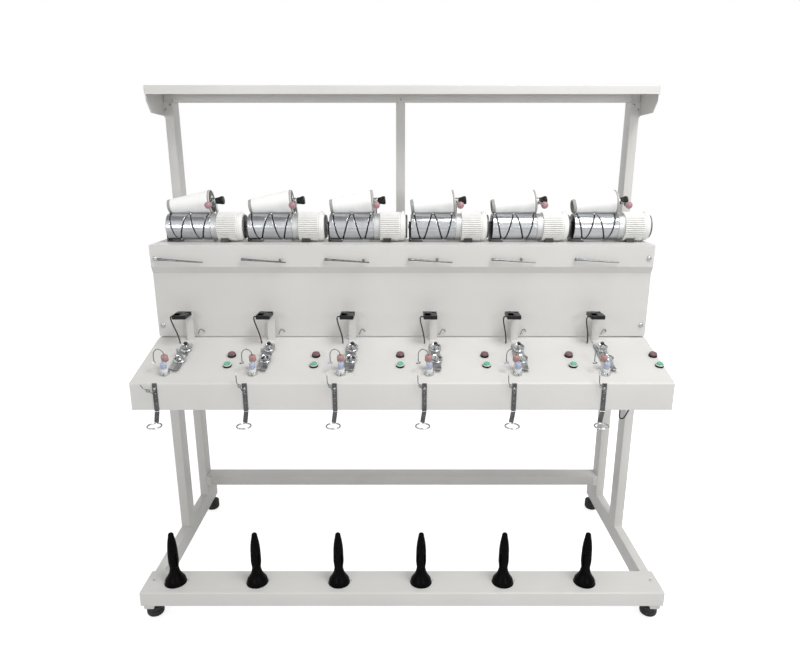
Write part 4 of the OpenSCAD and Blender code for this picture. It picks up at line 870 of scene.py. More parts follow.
collar_profile = [[0.0005, DRUM_LEN - 0.0004], [0.0495, DRUM_LEN - 0.0004],
    [0.0495, DRUM_LEN + 0.0012], [0.0510, DRUM_LEN + 0.0014], [0.0517, DRUM_LEN + 0.0022],
    [0.0517, 0.1890], [0.0508, 0.1898], [0.0508, 0.1917], [0.0517, 0.1925], [0.0517, 0.1960],
    [0.0510, DRUM_LEN + COLLAR_LEN], [0.0005, DRUM_LEN + COLLAR_LEN]]
end_profile = [[0.0085, -0.0002], [0.0085, -0.0015], [0.0470, -0.0015], [0.0483, -0.0012],
    [0.0490, -0.0004], [0.0490, 0.0]]
shaft_profile = [[0.0005, -0.0120], [0.0070, -0.0120], [0.0080, -0.0112], [0.0080, 0.0008],
    [0.0005, 0.0008]]
for k, x in enumerate(HEAD_X):
    at, drum = (x, DRUM_Y, DRUM_Z), f"drum_{k + 1}"
    grooved = (drum_grid + at, "capped")
    piece(f"grooved_drum_{k + 1}", [grooved], chrome_drum, "drum_metal", drum, drum, sharp=60)
    for name, profile, steps, material, slot in (
        ("drum_collar", collar_profile, 96, turned_metal, "drum_metal"),
        ("drum_end", end_profile, 64, black_abs, "black_plastic"),
        ("drum_shaft", shaft_profile, 32, plated, "bright"),
    ):
        piece(f"{name}_{k + 1}", [turned(profile, at, TO_RIGHT, steps)], material, slot, drum, drum)

# Cradle arms. A plated flat link swings on a pin behind the drum and carries the chuck's hub; a
# bent rod reaches forward to a red ball knob that the operator lifts.
ARM_X = 0.1805
PIVOT = (0.110, 1.4955)
ARM_T = 0.006
ARM_W = 0.020
PIVOT_REACH = 0.0095
HUB_REACH = 0.0130
HUB_R = 0.014
HUB_LEN = 0.012
HANDLE_R = 0.004
BALL_R = 0.0135
BALL_PLACE = (0.006, -0.113, -0.008)
CLAMP_ROW = 20
CLAMP_AHEAD = 14
REST = math.radians(10)
CONE_SMALL_R = 0.026
CONE_LARGE_R = 0.0455
CONE_SLANT = 0.170
CONE_ANGLE = math.asin((CONE_LARGE_R - CONE_SMALL_R) / CONE_SLANT)
CONE_LEN = CONE_SLANT * math.cos(CONE_ANGLE)
CONTACT_GAP = 0.0003
CHUCK_AT = CONE_LEN + 0.0003
CHUCK_T = 0.005
HUB_AT = CHUCK_AT + CHUCK_T + 0.002
KNOB_AT = HUB_AT + HUB_LEN + 0.002
# The cone's small end lies over the drum's left end, and its flank just clears the drum's top
axis_start = np.array([
    0.002 - CONE_SMALL_R * math.sin(CONE_ANGLE),
    DRUM_R + CONTACT_GAP + CONE_SMALL_R * math.cos(CONE_ANGLE)])
UP = np.array([0, math.sin(REST), math.cos(REST)])
BACK = np.array([0, math.cos(REST), -math.sin(REST)])
CONE_WAY = math.cos(CONE_ANGLE) * np.array([1, 0, 0]) + math.sin(CONE_ANGLE) * UP
CONE_AXES = np.stack([np.cross(BACK, CONE_WAY), BACK, CONE_WAY])
CONE_FOOT = np.array([axis_start[0], DRUM_Y, DRUM_Z]) + axis_start[1] * UP
hub_middle = CONE_FOOT + CONE_WAY * (ARM_X - axis_start[0]) / CONE_WAY[0]

# Red phenolic ball: glossy, its colour faded to a dusty pink red
red_ball = worn_finish(
    "red_phenolic_ball", 0.01, 4.0, [(0.3, "#A3777D"), (0.7, "#B2898F")],
    (0.22, 0.38), {"IOR": 1.55})


def link_outline(start, end, radius_start, radius_end):
    """The outline of a link: two round ends of their own radii joined by straight sides."""
    start, end = np.asarray(start, float), np.asarray(end, float)
    along = math.atan2(*(end - start)[::-1])
    first = along + np.radians(np.linspace(90, 270, 13))
    second = along + np.radians(np.linspace(-90, 90, 13))
    near = start + radius_start * np.stack([np.cos(first), np.sin(first)], -1)
    far = end + radius_end * np.stack([np.cos(second), np.sin(second)], -1)
    return np.concatenate([near, far])


pivot_profile = [[0.0061, -0.022], [0.0104, -0.022], [0.0110, -0.0214], [0.0110, 0.0214],
    [0.0104, 0.022], [0.0061, 0.022]]
hub_ring = [[0.0061, 0.0], [0.0132, 0.0], [HUB_R, 0.0008], [HUB_R, HUB_LEN - 0.0008],
    [0.0132, HUB_LEN], [0.0061, HUB_LEN]]
pole_angle = np.linspace(0.06, math.pi - 0.06, 28)
ball_profile = np.stack([BALL_R * np.sin(pole_angle), -BALL_R * np.cos(pole_angle)], -1)
clamp_profile = [[0.0042, 0.0], [0.0072, 0.0], [0.0078, 0.0006], [0.0078, 0.0084], [0.0072, 0.009],
    [0.0042, 0.009]]
for k, x in enumerate(HEAD_X):
    arm = f"arm_{k + 1}"
    shift = np.array([x, 0, 0])
    middle = hub_middle + shift
    ball = middle + BALL_PLACE
    gap = unit(np.array([middle[1] - PIVOT[0], middle[2] - PIVOT[1]]))
    link = link_outline(
        np.array(PIVOT) + PIVOT_REACH * gap, middle[1:] - HUB_REACH * gap,
        ARM_W / 2, ARM_W / 2 - 0.001)
    rod_start = middle + (0, -0.0125, -0.001)
    rod = smooth([rod_start, rod_start + (0, -0.020, -0.001), middle + (0.001, -0.055, -0.004),
        middle + (0.004, -0.085, -0.006), ball + (0, 0.006, 0)], 6)
    softened(
        piece(
            f"arm_link_{k + 1}",
            [prism(link, x + ARM_X - ARM_T / 2, x + ARM_X + ARM_T / 2, 0),
             turned(pivot_profile, (x + ARM_X, *PIVOT), TO_RIGHT, 40, "ring"),
             turned(hub_ring, CONE_FOOT + shift + CONE_WAY * HUB_AT, CONE_AXES, 40, "ring")],
            plated, "bright", arm, arm,
        ),
        EDGE_BREAK,
    )
    piece(f"arm_handle_{k + 1}", [swept(rod, HANDLE_R, 16)], plated, "bright", arm, arm)
    piece(f"ball_knob_{k + 1}", [turned(ball_profile, ball, steps=40)], red_ball, None, arm, arm)
    rod_way = unit(rod[CLAMP_AHEAD] - rod[CLAMP_ROW])
    square = np.cross([1, 0, 0], rod_way)
    clamp_axes = np.stack([unit(square), unit(np.cross(rod_way, square)), rod_way])
    clamp = turned(clamp_profile, rod[CLAMP_ROW], clamp_axes, 32, "ring")
    piece(f"handle_clamp_{k + 1}", [clamp], black_abs, "black_plastic", arm, arm)

# Package cones. Wound and glued white paper, with rolled edges painted grey as shade; the large end
# sits on a black chuck with a pale rim, and a black gripped knob that flares outwards closes the
# spindle.
CONE_WALL = 0.0025
PLUG_LEN = 0.014
KNOB_R = 0.0165
KNOB_LEN = 0.031
KNOB_GRIPS = 18
KNOB_GRIP_DEEP = 0.0011

# Glued cone paper: white board with faint winding bands and a fibrous tooth
cone_paper = empty_material("cone_board")
where = add(cone_paper, "ShaderNodeTexCoord", {}, "Object")
bands = add(
    cone_paper, "ShaderNodeMapping", {"Vector": where, "Scale": (1 / 0.012, 1 / 0.09, 1 / 0.09)})
band = add(cone_paper, "ShaderNodeTexNoise", {"Vector": bands, "Scale": 1.0, "Detail": 3.0})
tint = add(
    cone_paper, "ShaderNodeValToRGB", {"Fac": band, "stops": [(0.3, "#F6F6F4"), (0.65, "#FAFAF9")]})
fibre = add(cone_paper, "ShaderNodeTexNoise", {"Vector": where, "Scale": 1 / 0.003, "Detail": 3.0})
relief = add(cone_paper, "ShaderNodeBump", {"Height": fibre, "Distance": 0.0001, "Strength": 0.6})
shader = add(
    cone_paper, "ShaderNodeBsdfPrincipled",
    {"Base Color": tint, "Roughness": 0.7, "Normal": relief})
add(cone_paper, "ShaderNodeOutputMaterial", {"Surface": shader})

# Pale moulded plastic rim on the chuck: a warm light grey, satin, yellowed and soiled in patches
rim_plastic = worn_finish(
    "pale_moulded_rim", 0.008, 4.0, [(0.3, "#BDB7B4"), (0.7, "#CFCAC7")], 0.42)

# The same board's rolled edges, painted grey as shade
shaded_cone_edge = worn_finish("cone_board_edge_painted_shade", 0.006, 4.0, [(0.3, "#8F8F8D"), (0.7, "#B4B3AF")], 0.75)


def gripped_knob(at, axes):
    """A flared knob whose radius dips between shallow grips that fade towards its rounded end."""
    outline = np.array([
        [0.0061, 0.0], [0.0120, 0.0], [0.0127, 0.0012], [0.0130, 0.006], [0.0137, 0.012],
        [0.0150, 0.017], [0.0161, 0.021], [KNOB_R, 0.024], [0.0162, 0.0272], [0.0148, 0.0296],
        [0.0120, 0.0308], [0.0070, KNOB_LEN], [0.0005, KNOB_LEN]])
    turn = np.linspace(0, 2 * np.pi, KNOB_GRIPS * 8, endpoint=False)
    grip = step_between(outline[:, 1], 0.002, 0.006)
    grip = grip * (1 - step_between(outline[:, 1], 0.020, 0.027))
    dip = KNOB_GRIP_DEEP * grip[:, None] * (1 - np.cos(KNOB_GRIPS * turn)[None]) / 2
    radius = outline[:, :1] - dip
    rise = np.repeat(outline[:, 1:], len(turn), axis=1)
    points = np.stack([radius * np.cos(turn), radius * np.sin(turn), rise], -1)
    return points @ axes + at, "capped"


slant = np.array([CONE_LARGE_R - CONE_SMALL_R, CONE_LEN])
shell = np.array([CONE_SMALL_R, 0.0]) + np.linspace(0.05, 0.988, 16)[:, None] * slant
inner_shell = shell[::-1] - [CONE_WALL - 0.0004, 0]
shell_profile = np.concatenate([shell, inner_shell])
small_rim = [[CONE_SMALL_R - CONE_WALL, 0.0120], [CONE_SMALL_R - CONE_WALL, 0.0008],
    [CONE_SMALL_R - 0.0018, 0.0001], [CONE_SMALL_R - 0.0006, 0.0001],
    [CONE_SMALL_R + 0.0002, 0.0008], [CONE_SMALL_R + 0.0015, 0.0120]]
large_rim = [[CONE_LARGE_R - CONE_WALL, CONE_LEN - 0.0034],
    [CONE_LARGE_R - 0.0003, CONE_LEN - 0.0034], [CONE_LARGE_R, CONE_LEN - 0.0008],
    [CONE_LARGE_R - 0.0006, CONE_LEN], [CONE_LARGE_R - CONE_WALL + 0.0004, CONE_LEN],
    [CONE_LARGE_R - CONE_WALL, CONE_LEN - 0.0006]]
plug_r = CONE_LARGE_R - CONE_WALL - 0.0003
chuck_profile = [[0.0005, CHUCK_AT - PLUG_LEN], [plug_r - 0.0028, CHUCK_AT - PLUG_LEN],
    [plug_r - 0.0016, CHUCK_AT - PLUG_LEN + 0.001], [plug_r, CHUCK_AT - 0.0002],
    [plug_r, CHUCK_AT + 0.0038], [0.0405, CHUCK_AT + 0.0042], [0.0005, CHUCK_AT + 0.0042]]
pale_rim = [[plug_r + 0.0002, CHUCK_AT], [0.0448, CHUCK_AT], [CONE_LARGE_R, CHUCK_AT + 0.0008],
    [CONE_LARGE_R, CHUCK_AT + 0.0042], [0.0448, CHUCK_AT + CHUCK_T],
    [plug_r + 0.0008, CHUCK_AT + CHUCK_T], [plug_r + 0.0002, CHUCK_AT + CHUCK_T - 0.0008]]
spindle_profile = [[0.0005, CHUCK_AT + CHUCK_T - 0.002], [0.0240, CHUCK_AT + CHUCK_T - 0.002],
    [0.0240, CHUCK_AT + CHUCK_T + 0.0004], [0.0230, CHUCK_AT + CHUCK_T + 0.0010],
    [0.0060, CHUCK_AT + CHUCK_T + 0.0010], [0.0060, KNOB_AT + 0.001], [0.0005, KNOB_AT + 0.001]]
for k, x in enumerate(HEAD_X):
    cone, foot = f"cone_{k + 1}", CONE_FOOT + (x, 0, 0)
    for name, profiles, steps, closing, material, slot in (
        ("paper_cone", [shell_profile], 96, "ring", cone_paper, "paper"),
        ("cone_rims", [small_rim, large_rim], 96, "ring", shaded_cone_edge, "paper"),
        ("chuck", [chuck_profile], 96, "capped", black_abs, "black_plastic"),
        ("chuck_rim", [pale_rim], 96, "ring", rim_plastic, None),
        ("chuck_spindle", [spindle_profile], 32, "capped", plated, "bright"),
    ):
        shells = [turned(profile, foot, CONE_AXES, steps, closing) for profile in profiles]
        piece(f"{name}_{k + 1}", shells, material, slot, cone, cone)
    knob = gripped_knob(foot + CONE_WAY * KNOB_AT, CONE_AXES)
    piece(f"end_knob_{k + 1}", [knob], black_abs, "black_plastic", cone, cone)

# Yarn sensors. Black moulded boxes with a yarn slot cut into the right-hand end, each screwed to a
# coated upright sheet that stands on the slope.
SENSOR_X = (0.046, 0.099)
SENSOR_Y = (-0.170, -0.095)
SENSOR_Z = (1.148, 1.163)
YARN_SLOT_X = 0.079
YARN_SLOT_Y = (-0.120, -0.110)
SENSOR_CUT = 0.003
SENSOR_DRAFT = 0.0008
LID_X = (0.050, 0.074)
LID_Y = (-0.1655, -0.128)


def sensor_outline(x, inset):
    """A rectangle with cut corners, with a slot running in from its right-hand end."""
    left, right = x + SENSOR_X[0] + inset, x + SENSOR_X[1] - inset
    front, back = SENSOR_Y[0] + inset, SENSOR_Y[1] - inset
    slot_x, (near, far), cut = x + YARN_SLOT_X, YARN_SLOT_Y, SENSOR_CUT
    return np.array([
        [left + cut, front], [right - cut, front], [right, front + cut],
        [right, near - 0.002 - inset], [right - 0.002, near - inset],
        [slot_x + cut, near - inset], [slot_x - inset, near + cut],
        [slot_x - inset, far - cut], [slot_x + cut, far + inset],
        [right - 0.002, far + inset], [right, far + 0.002 + inset],
        [right, back], [left, back], [left, front + cut],
    ])


def stacked(outlines, heights):
    """One outline above another, joined by straight sides: a moulded block with drawn-in edges."""
    levels = [np.full(len(outline), z) for outline, z in zip(outlines, heights)]
    return np.stack([np.column_stack(row) for row in zip(outlines, levels)]), "capped"


sensor_rows = (SENSOR_Z[0], SENSOR_Z[0] + 0.001, SENSOR_Z[1] - 0.001, SENSOR_Z[1])
boxes, lids = [], []
for x in HEAD_X:
    outlines = [sensor_outline(x, inset) for inset in (SENSOR_DRAFT, 0.0, 0.0, SENSOR_DRAFT)]
    boxes.append(stacked(outlines, sensor_rows))
    lids.append(rounded_box(
        (x + LID_X[0], LID_Y[0], sensor_rows[2]), (x + LID_X[1], LID_Y[1], SENSOR_Z[1]), 2, 0.002))
housings = piece(
    "sensor_housings", boxes + lids, black_abs, "black_plastic", "frame", "sensor_boxes")
softened(housings, FINE_BREAK)
dressed_node("sensor_brackets", coat)

# Tension units. A steel plate on two spacers over the slope; on it two spindles, each with a pair
# of dished, polished discs that the yarn runs between. The upper pair is pressed together by a cone
# spring under a black knob. The plate's front corner is bent up as a blade.
DISC_X = 0.093
LOW_S = 0.147
HIGH_S = 0.228
PLATE_X = (-0.024, 0.016)
PLATE_LIFT = 0.004
PLATE_T = 0.003
PLATE_FRONT_S = 0.082
PLATE_BACK_S = 0.262
DISC_UP = PLATE_LIFT + PLATE_T + 0.005
DISC_T = 0.0012
DISC_GAP = 0.0003
SPRING_H = 0.014
SPRING_TURNS = 5
SPRING_WIRE_R = 0.00065
NUT_R = 0.006
SLOPE_AXES = np.array([
    [1, 0, 0], [0, math.cos(SLOPE), math.sin(SLOPE)], [0, -math.sin(SLOPE), math.cos(SLOPE)]])

# Dull nickel plate on steel sheet: mid grey metal, clouded, with paler scuffs
dull_nickel = worn_finish(
    "dull_nickel_sheet", 0.02, 6.0, [(0.35, "#B1B2B3"), (0.75, "#C6C7C7")],
    (0.42, 0.28), {"Metallic": 0.9})

# Polished chromium plate on pressed steel: nearly a mirror, with a thin haze from yarn wax
polished = worn_finish(
    "polished_chrome_plate", 0.01, 4.0, [(0.3, "#BFC1C3"), (0.7, "#D3D5D6")],
    (0.08, 0.22), {"Metallic": 1.0})


def on_plate(shell, x):
    """A shell made on the slope's own axes, put in its place at a drum's left end."""
    points, closing = shell
    return on_slope(points[..., 0] + x + DISC_X, points[..., 1], points[..., 2]), closing


plate_shell = rounded_box(
    (PLATE_X[0], PLATE_FRONT_S, PLATE_LIFT),
    (PLATE_X[1], PLATE_BACK_S, PLATE_LIFT + PLATE_T), 2, 0.003)
blade_path = folded([[0.110, 0.0058], [0.0840, 0.0058], [0.0675, 0.0135]], 0.006, 0.0012)
blade_shell = prism(blade_path, -0.0045, 0.0155, 0)
bar_shell = rounded_box((-0.0235, 0.1825, 0.0045), (-0.0205, 0.1925, 0.0300), 0, 0.003)
spacer = [[0.006, 0.0], [0.006, PLATE_LIFT]]
spacer_shells = [turned(spacer, (0, s, 0), steps=32) for s in (LOW_S, HIGH_S)]
softened(
    piece(
        "tension_plates_dressed",
        [on_plate(shell, x) for x in HEAD_X
         for shell in (plate_shell, blade_shell, bar_shell, *spacer_shells)],
        dull_nickel, "dark_steel", "frame", "tension_plates",
    ),
    FINE_BREAK,
)
dish = [[0.0031, 0.0], [0.0045, -0.0002], [0.0090, 0.0], [0.0130, 0.0004], [0.0180, DISC_T],
    [0.0205, 0.0026], [0.0216, 0.0042], [0.0220, 0.0052], [0.0213, 0.0051], [0.0200, 0.0036],
    [0.0178, 0.0021], [0.0130, 0.0013], [0.0090, 0.0010], [0.0031, 0.0010]]
upper_dish = [[r, DISC_UP + DISC_GAP + h] for r, h in dish]
lower_dish = [[r, DISC_UP - DISC_GAP - h] for r, h in dish]
piece(
    "tension_discs_dressed",
    [on_plate(turned(d, (0, s, 0), steps=64, closing="ring"), x)
     for x in HEAD_X for s in (LOW_S, HIGH_S) for d in (upper_dish, lower_dish)],
    polished, "bright", "frame", "tension_discs", sharp=60,
)
over = DISC_UP + DISC_T
low_spindle = [[0.0030, 0.0070], [0.0030, 0.0280], [0.0022, 0.0290], [0.0005, 0.0290]]
high_spindle = [[0.0030, 0.0070], [0.0030, 0.0355], [0.0005, 0.0360]]
nut_turn = np.radians(np.arange(6) * 60)
nut_outline = np.stack([NUT_R * np.cos(nut_turn), LOW_S + NUT_R * np.sin(nut_turn)], -1)
nut = prism(nut_outline, over, over + 0.004, 2)
coil_t = np.linspace(0, 1, SPRING_TURNS * 20 + 1)
coil_r = 0.0065 - 0.0020 * coil_t
coil_turn = 2 * SPRING_TURNS * np.pi * coil_t
coil = np.stack([coil_r * np.cos(coil_turn), HIGH_S + coil_r * np.sin(coil_turn),
    over + 0.0013 + (SPRING_H - 0.0026) * coil_t], -1)
piece(
    "tension_spindles_dressed",
    [on_plate(shell, x) for x in HEAD_X for shell in (
        turned(low_spindle, (0, LOW_S, 0), steps=24),
        turned(high_spindle, (0, HIGH_S, 0), steps=24), nut, swept(coil, SPRING_WIRE_R, 8))],
    polished, "bright", "frame", "tension_spindles",
)
knob_low = over + SPRING_H
tension_knob = [[0.0031, knob_low], [0.0074, knob_low], [0.0080, knob_low + 0.0006],
    [0.0080, knob_low + 0.0030], [0.0072, knob_low + 0.0045], [0.0060, knob_low + 0.0065],
    [0.0050, knob_low + 0.0082], [0.0040, knob_low + 0.0090], [0.0031, knob_low + 0.0090]]
piece(
    "tension_knobs",
    [on_plate(turned(tension_knob, (0, HIGH_S, 0), steps=32, closing="ring"), x) for x in HEAD_X],
    black_abs, "black_plastic", "frame", "tension_spindles",
)

# Guide posts. A slotted chromed collar clamps a white glazed sleeve under a small blue cap; behind
# it a white stem carries a salmon cap. Yarn turns round them on its way to the discs.
POST = (0.0635, 0.059)
RED_POST = (0.060, 0.092)

# Glazed alumina: clean white and glossy, hard wearing against yarn
ceramic = worn_finish(
    "glazed_alumina", 0.01, 3.0, [(0.3, "#DEDEDA"), (0.7, "#EBEBE8")], 0.18, {"IOR": 1.6})

# Pale blue glazed cap and salmon moulded cap, each clouded a little by wear
blue_cap = worn_finish("blue_glazed_cap", 0.006, 4.0, [(0.3, "#A4AECA"), (0.7, "#BAC2D7")], 0.28)
salmon_cap = worn_finish(
    "salmon_moulded_cap", 0.006, 4.0, [(0.3, "#A47C78"), (0.7, "#B5918C")], 0.4)


def post_collar(x):
    """A short collar, rounded above, whose radius dips into a narrow slot at its front."""
    outline = np.array([
        [0.0005, 0.0], [0.0165, 0.0], [0.0170, 0.0006], [0.0170, 0.0105], [0.0162, 0.0117],
        [0.0148, 0.0120], [0.0005, 0.0120]])
    turn = np.linspace(0, 2 * np.pi, 180, endpoint=False)
    aside = np.abs(outline[:, :1] * np.cos(turn))
    slot = (1 - step_between(aside, 0.0013, 0.0018)) * (np.sin(turn) < 0) * (outline[:, :1] > 0.012)
    radius = outline[:, :1] - 0.0060 * slot
    rise = np.repeat(outline[:, 1:], len(turn), axis=1)
    across, ahead = radius * np.cos(turn), radius * np.sin(turn)
    return on_slope(x + POST[0] + across, POST[1] + ahead, rise), "capped"


def standing(profile, place, steps=48):
    """A turned shell standing on the slope at a place given from each drum's left end."""
    feet = (on_slope(x + place[0], place[1], 0.0) for x in HEAD_X)
    return [turned(profile, foot, SLOPE_AXES, steps) for foot in feet]


sleeve = [[0.0005, 0.0115], [0.0130, 0.0118], [0.0135, 0.0126], [0.0132, 0.0160], [0.0126, 0.0185],
    [0.0132, 0.0212], [0.0135, 0.0240], [0.0128, 0.0250], [0.0005, 0.0250]]
cap = [[0.0005, 0.0246], [0.0100, 0.0250], [0.0105, 0.0256], [0.0105, 0.0440], [0.0101, 0.0468],
    [0.0090, 0.0483], [0.0070, 0.0490], [0.0036, 0.0490], [0.0030, 0.0484], [0.0030, 0.0425],
    [0.0005, 0.0425]]
red_stem = [[0.0005, 0.0], [0.0080, 0.0], [0.0080, 0.0375], [0.0005, 0.0380]]
red_cap = [[0.0005, 0.0372], [0.0122, 0.0376], [0.0130, 0.0386], [0.0130, 0.0460], [0.0126, 0.0540],
    [0.0117, 0.0580], [0.0100, 0.0597], [0.0080, 0.0600], [0.0050, 0.0596], [0.0005, 0.0594]]
collars = [post_collar(x) for x in HEAD_X]
for name, shells, material, slot, sharp in (
    ("post_collars", collars, polished, "bright", 40),
    ("post_sleeves", standing(sleeve, POST), ceramic, "ceramic_white", 50),
    ("post_caps", standing(cap, POST), blue_cap, None, 40),
    ("rear_post_stems", standing(red_stem, RED_POST, 32), ceramic, "ceramic_white", 30),
    ("rear_post_caps", standing(red_cap, RED_POST), salmon_cap, None, 40),
):
    piece(name, shells, material, slot, "frame", "guide_posts", sharp=sharp)

# Wire guides. Drawn 3.4 mm spring wire: a hooked arm from the salmon cap to an eye ahead of the
# console, a pigtail with a small coil and a ceramic tip over each strap, and a hook on the panel.
# Three of the eyes hold a glazed eyelet, one white and two blue.
WIRE_R = 0.0017
COIL_R = 0.0055
TIP_R = 0.0026
TIP_ROWS = 4
BLUE_EYES = (2, 4)
HOOK_ROUTE = [[0, 0, -2], [-3, 0, 9], [-10, -1, 17], [-20, -2, 21], [-30, -3, 17], [-36, -4, 7],
    [-37, -5, -5], [-37, -5, -22]]
LOW_PIGTAIL = [[7, 0, -17], [4, -3, -24], [-2, -5, -30], [-8, -7, -33], [-20, -8, -24],
    [-34, -8, -16], [-42, -8, -6], [-46, -8, 6]]
HIGH_PIGTAIL = [[7, 0, -17], [2, -3, -24], [-2, -6, -31], [-8, -8, -20], [-15, -8, -6],
    [-23, -8, 6], [-24, -8, 24], [-25, -8, 46]]
PANEL_HOOK = [[0, 0, 0], [0, -4, 0], [-1, -9, 4], [-4, -12, 8], [-10, -14, 12], [-15, -14, 7],
    [-19, -14, -2], [-22, -14, -9]]
EYE_R = 0.007
EYE_DROP = 0.004
HOOK_UP = 0.0627
PANEL_HOOK_X = 0.136
PANEL_HOOK_Z = 1.052 + 0.023
STRAP_X = 0.044
STRAP_T = 0.003
PIGTAIL_OFF = 0.0025
THROUGH = np.array([[1, 0, 0], [0, 0, 1], [0, 1, 0]])

# Drawn spring wire: grey steel, half bright, with a waxy haze in patches
spring_wire = worn_finish(
    "drawn_spring_wire", 0.01, 4.0, [(0.3, "#6F7173"), (0.7, "#898B8D")],
    (0.22, 0.36), {"Metallic": 1.0})

wires, tips, eyelets = [], [], []
eye_turn = np.radians(np.arange(20, 341, 20))
eye_rise = -EYE_DROP * eye_turn / (2 * np.pi)
small_ring = arc((COIL_R, 0.0), 0.0013, 0, 330, 12)
eyelet = arc((0.0062, 0.0), 0.0026, 0, 345, 24)
for k, x in enumerate(HEAD_X):
    start = on_slope(x + RED_POST[0], RED_POST[1], 0.0) + SLOPE_AXES[2] * HOOK_UP
    hook = smooth(np.array(HOOK_ROUTE) / 1000)
    middle = hook[-1] - (0, EYE_R, EYE_DROP)
    eye = np.stack([EYE_R * np.sin(eye_turn), EYE_R * np.cos(eye_turn), eye_rise], -1)
    wires.append(swept(np.concatenate([hook, middle + eye]) + start, WIRE_R, 10))
    eyelets.append(turned(eyelet, start + middle - (0, 0, 0.002), steps=36, closing="ring"))
    route = smooth(np.array(LOW_PIGTAIL if k == 0 else HIGH_PIGTAIL) / 1000)
    route = route + (x + STRAP_X, CONSOLE_FRONT - STRAP_T - PIGTAIL_OFF, CONSOLE_EDGE_Z)
    wires.append(swept(route, WIRE_R, 10))
    wires.append(turned(small_ring, route[len(route) * 4 // 7], THROUGH, 24, "ring"))
    tips.append(swept(route[-TIP_ROWS:], TIP_R, 16))
    route = smooth(np.array(PANEL_HOOK) / 1000)
    wires.append(swept(route + (x + PANEL_HOOK_X, PANEL_Y, PANEL_HOOK_Z), WIRE_R, 10))
piece("bent_wires", wires, spring_wire, "bright", "frame", "wire_guides", sharp=60)
piece("pigtail_tips", tips, ceramic, "ceramic_white", "frame", "wire_guides", sharp=50)
piece("white_eyelet", eyelets[:1], ceramic, "ceramic_white", "frame", "wire_guides", sharp=60)
piece(
    "blue_eyelets", [eyelets[k] for k in BLUE_EYES], blue_cap, None, "frame", "wire_guides",
    sharp=60)

# Straps, rings and guide rods. A blackened strap with three holes is screwed to each bay of the
# fascia, with a bent tongue below a bright pin and a chromed ring hung under it. A tapered steel
# rod stands off the panel's flange above each drum's front, on four of them with a small ball.
STRAP_W = 0.0165
STRAP_LEN = 0.107
STRAP_BEND = math.radians(8.5)
RING_R = 0.025
RING_WIRE = 0.003
RING_Z = 0.817
RING_ASIDE = 0.006
HOLE_R = 0.0025
HOLE_PITCH = 0.019
STRAP_SCREW_DOWN = 0.020
STRAP_LOW_Z = CONSOLE_EDGE_Z - STRAP_LEN
STRAP_FACE = CONSOLE_FRONT - STRAP_T
PIN_OUT = 0.0004
ring_seat = RING_Z + RING_WIRE + 0.0003
strap_screw_z = CONSOLE_EDGE_Z - STRAP_SCREW_DOWN
bend_drop = STRAP_LOW_Z - ring_seat - STRAP_W / 2 * math.sin(STRAP_BEND)
bend_len = bend_drop / math.cos(STRAP_BEND)
straps = piece(
    "straps",
    [rounded_box(
        (x + STRAP_X - STRAP_W / 2, STRAP_FACE, STRAP_LOW_Z),
        (x + STRAP_X + STRAP_W / 2, CONSOLE_FRONT, CONSOLE_EDGE_Z), 1, 0.0015)
     for x in HEAD_X],
    oxide_steel, "dark_steel", "frame", "front_guides",
)
drilled(
    straps,
    [(x + STRAP_X, CONSOLE_FRONT - STRAP_T / 2, strap_screw_z - HOLE_PITCH * row)
     for x in HEAD_X for row in (1, 2, 3)],
    HOLE_R, STRAP_T, THROUGH,
)
softened(straps, FINE_BREAK)
across = np.array([
    [math.cos(STRAP_BEND), -math.sin(STRAP_BEND)], [math.sin(STRAP_BEND), math.cos(STRAP_BEND)]])
tongue = np.array([
    [-STRAP_W / 2, 0], [-STRAP_W / 2, -bend_len + 0.002], [-STRAP_W / 2 + 0.002, -bend_len],
    [STRAP_W / 2 - 0.002, -bend_len], [STRAP_W / 2, -bend_len + 0.002], [STRAP_W / 2, 0]]) @ across
softened(
    piece(
        "strap_tongues",
        [prism(tongue + (x + STRAP_X, STRAP_LOW_Z), STRAP_FACE, CONSOLE_FRONT, 1) for x in HEAD_X],
        oxide_steel, "dark_steel", "frame", "front_guides",
    ),
    FINE_BREAK,
)
piece(
    "strap_pins",
    [rounded_box(
        (x + STRAP_X - STRAP_W / 2 - PIN_OUT, STRAP_FACE - 0.0006, STRAP_LOW_Z - 0.0012),
        (x + STRAP_X + STRAP_W / 2 + PIN_OUT, CONSOLE_FRONT, STRAP_LOW_Z + 0.0018), 0, 0.001)
     for x in HEAD_X],
    plated, "bright", "frame", "front_guides",
)
circle = arc((RING_R, 0.0), RING_WIRE, 0, 345, 24)
ROD_FOOT = (-0.013, -0.094, 1.367)
ROD_PIN_X = 0.005
ROD_PIN = [[0.003, 0.0], [0.003, 0.012]]
rod_way = unit(np.array([0.172, 0, -0.012]))
rod_axes = np.stack([[0, 1, 0], np.cross([0, 1, 0], rod_way) * -1, rod_way])
rod_profile = [[0.0005, 0.0], [0.0040, 0.0], [0.0050, 0.0010], [0.0050, 0.0130], [0.0046, 0.0142],
    [0.0042, 0.030], [0.0034, 0.090], [0.0028, 0.150], [0.0026, 0.171], [0.0005, 0.172]]
ROD_BALL_R = 0.0055
ROD_BALL_UP = 0.0082
ROD_BALL_ALONG = (None, 0.150, 0.150, 0.112, 0.115, None)
ball_turn = np.linspace(0.08, math.pi - 0.08, 16)
rod_ball = np.stack([ROD_BALL_R * np.sin(ball_turn), -ROD_BALL_R * np.cos(ball_turn)], -1)
rings, rods = [], []
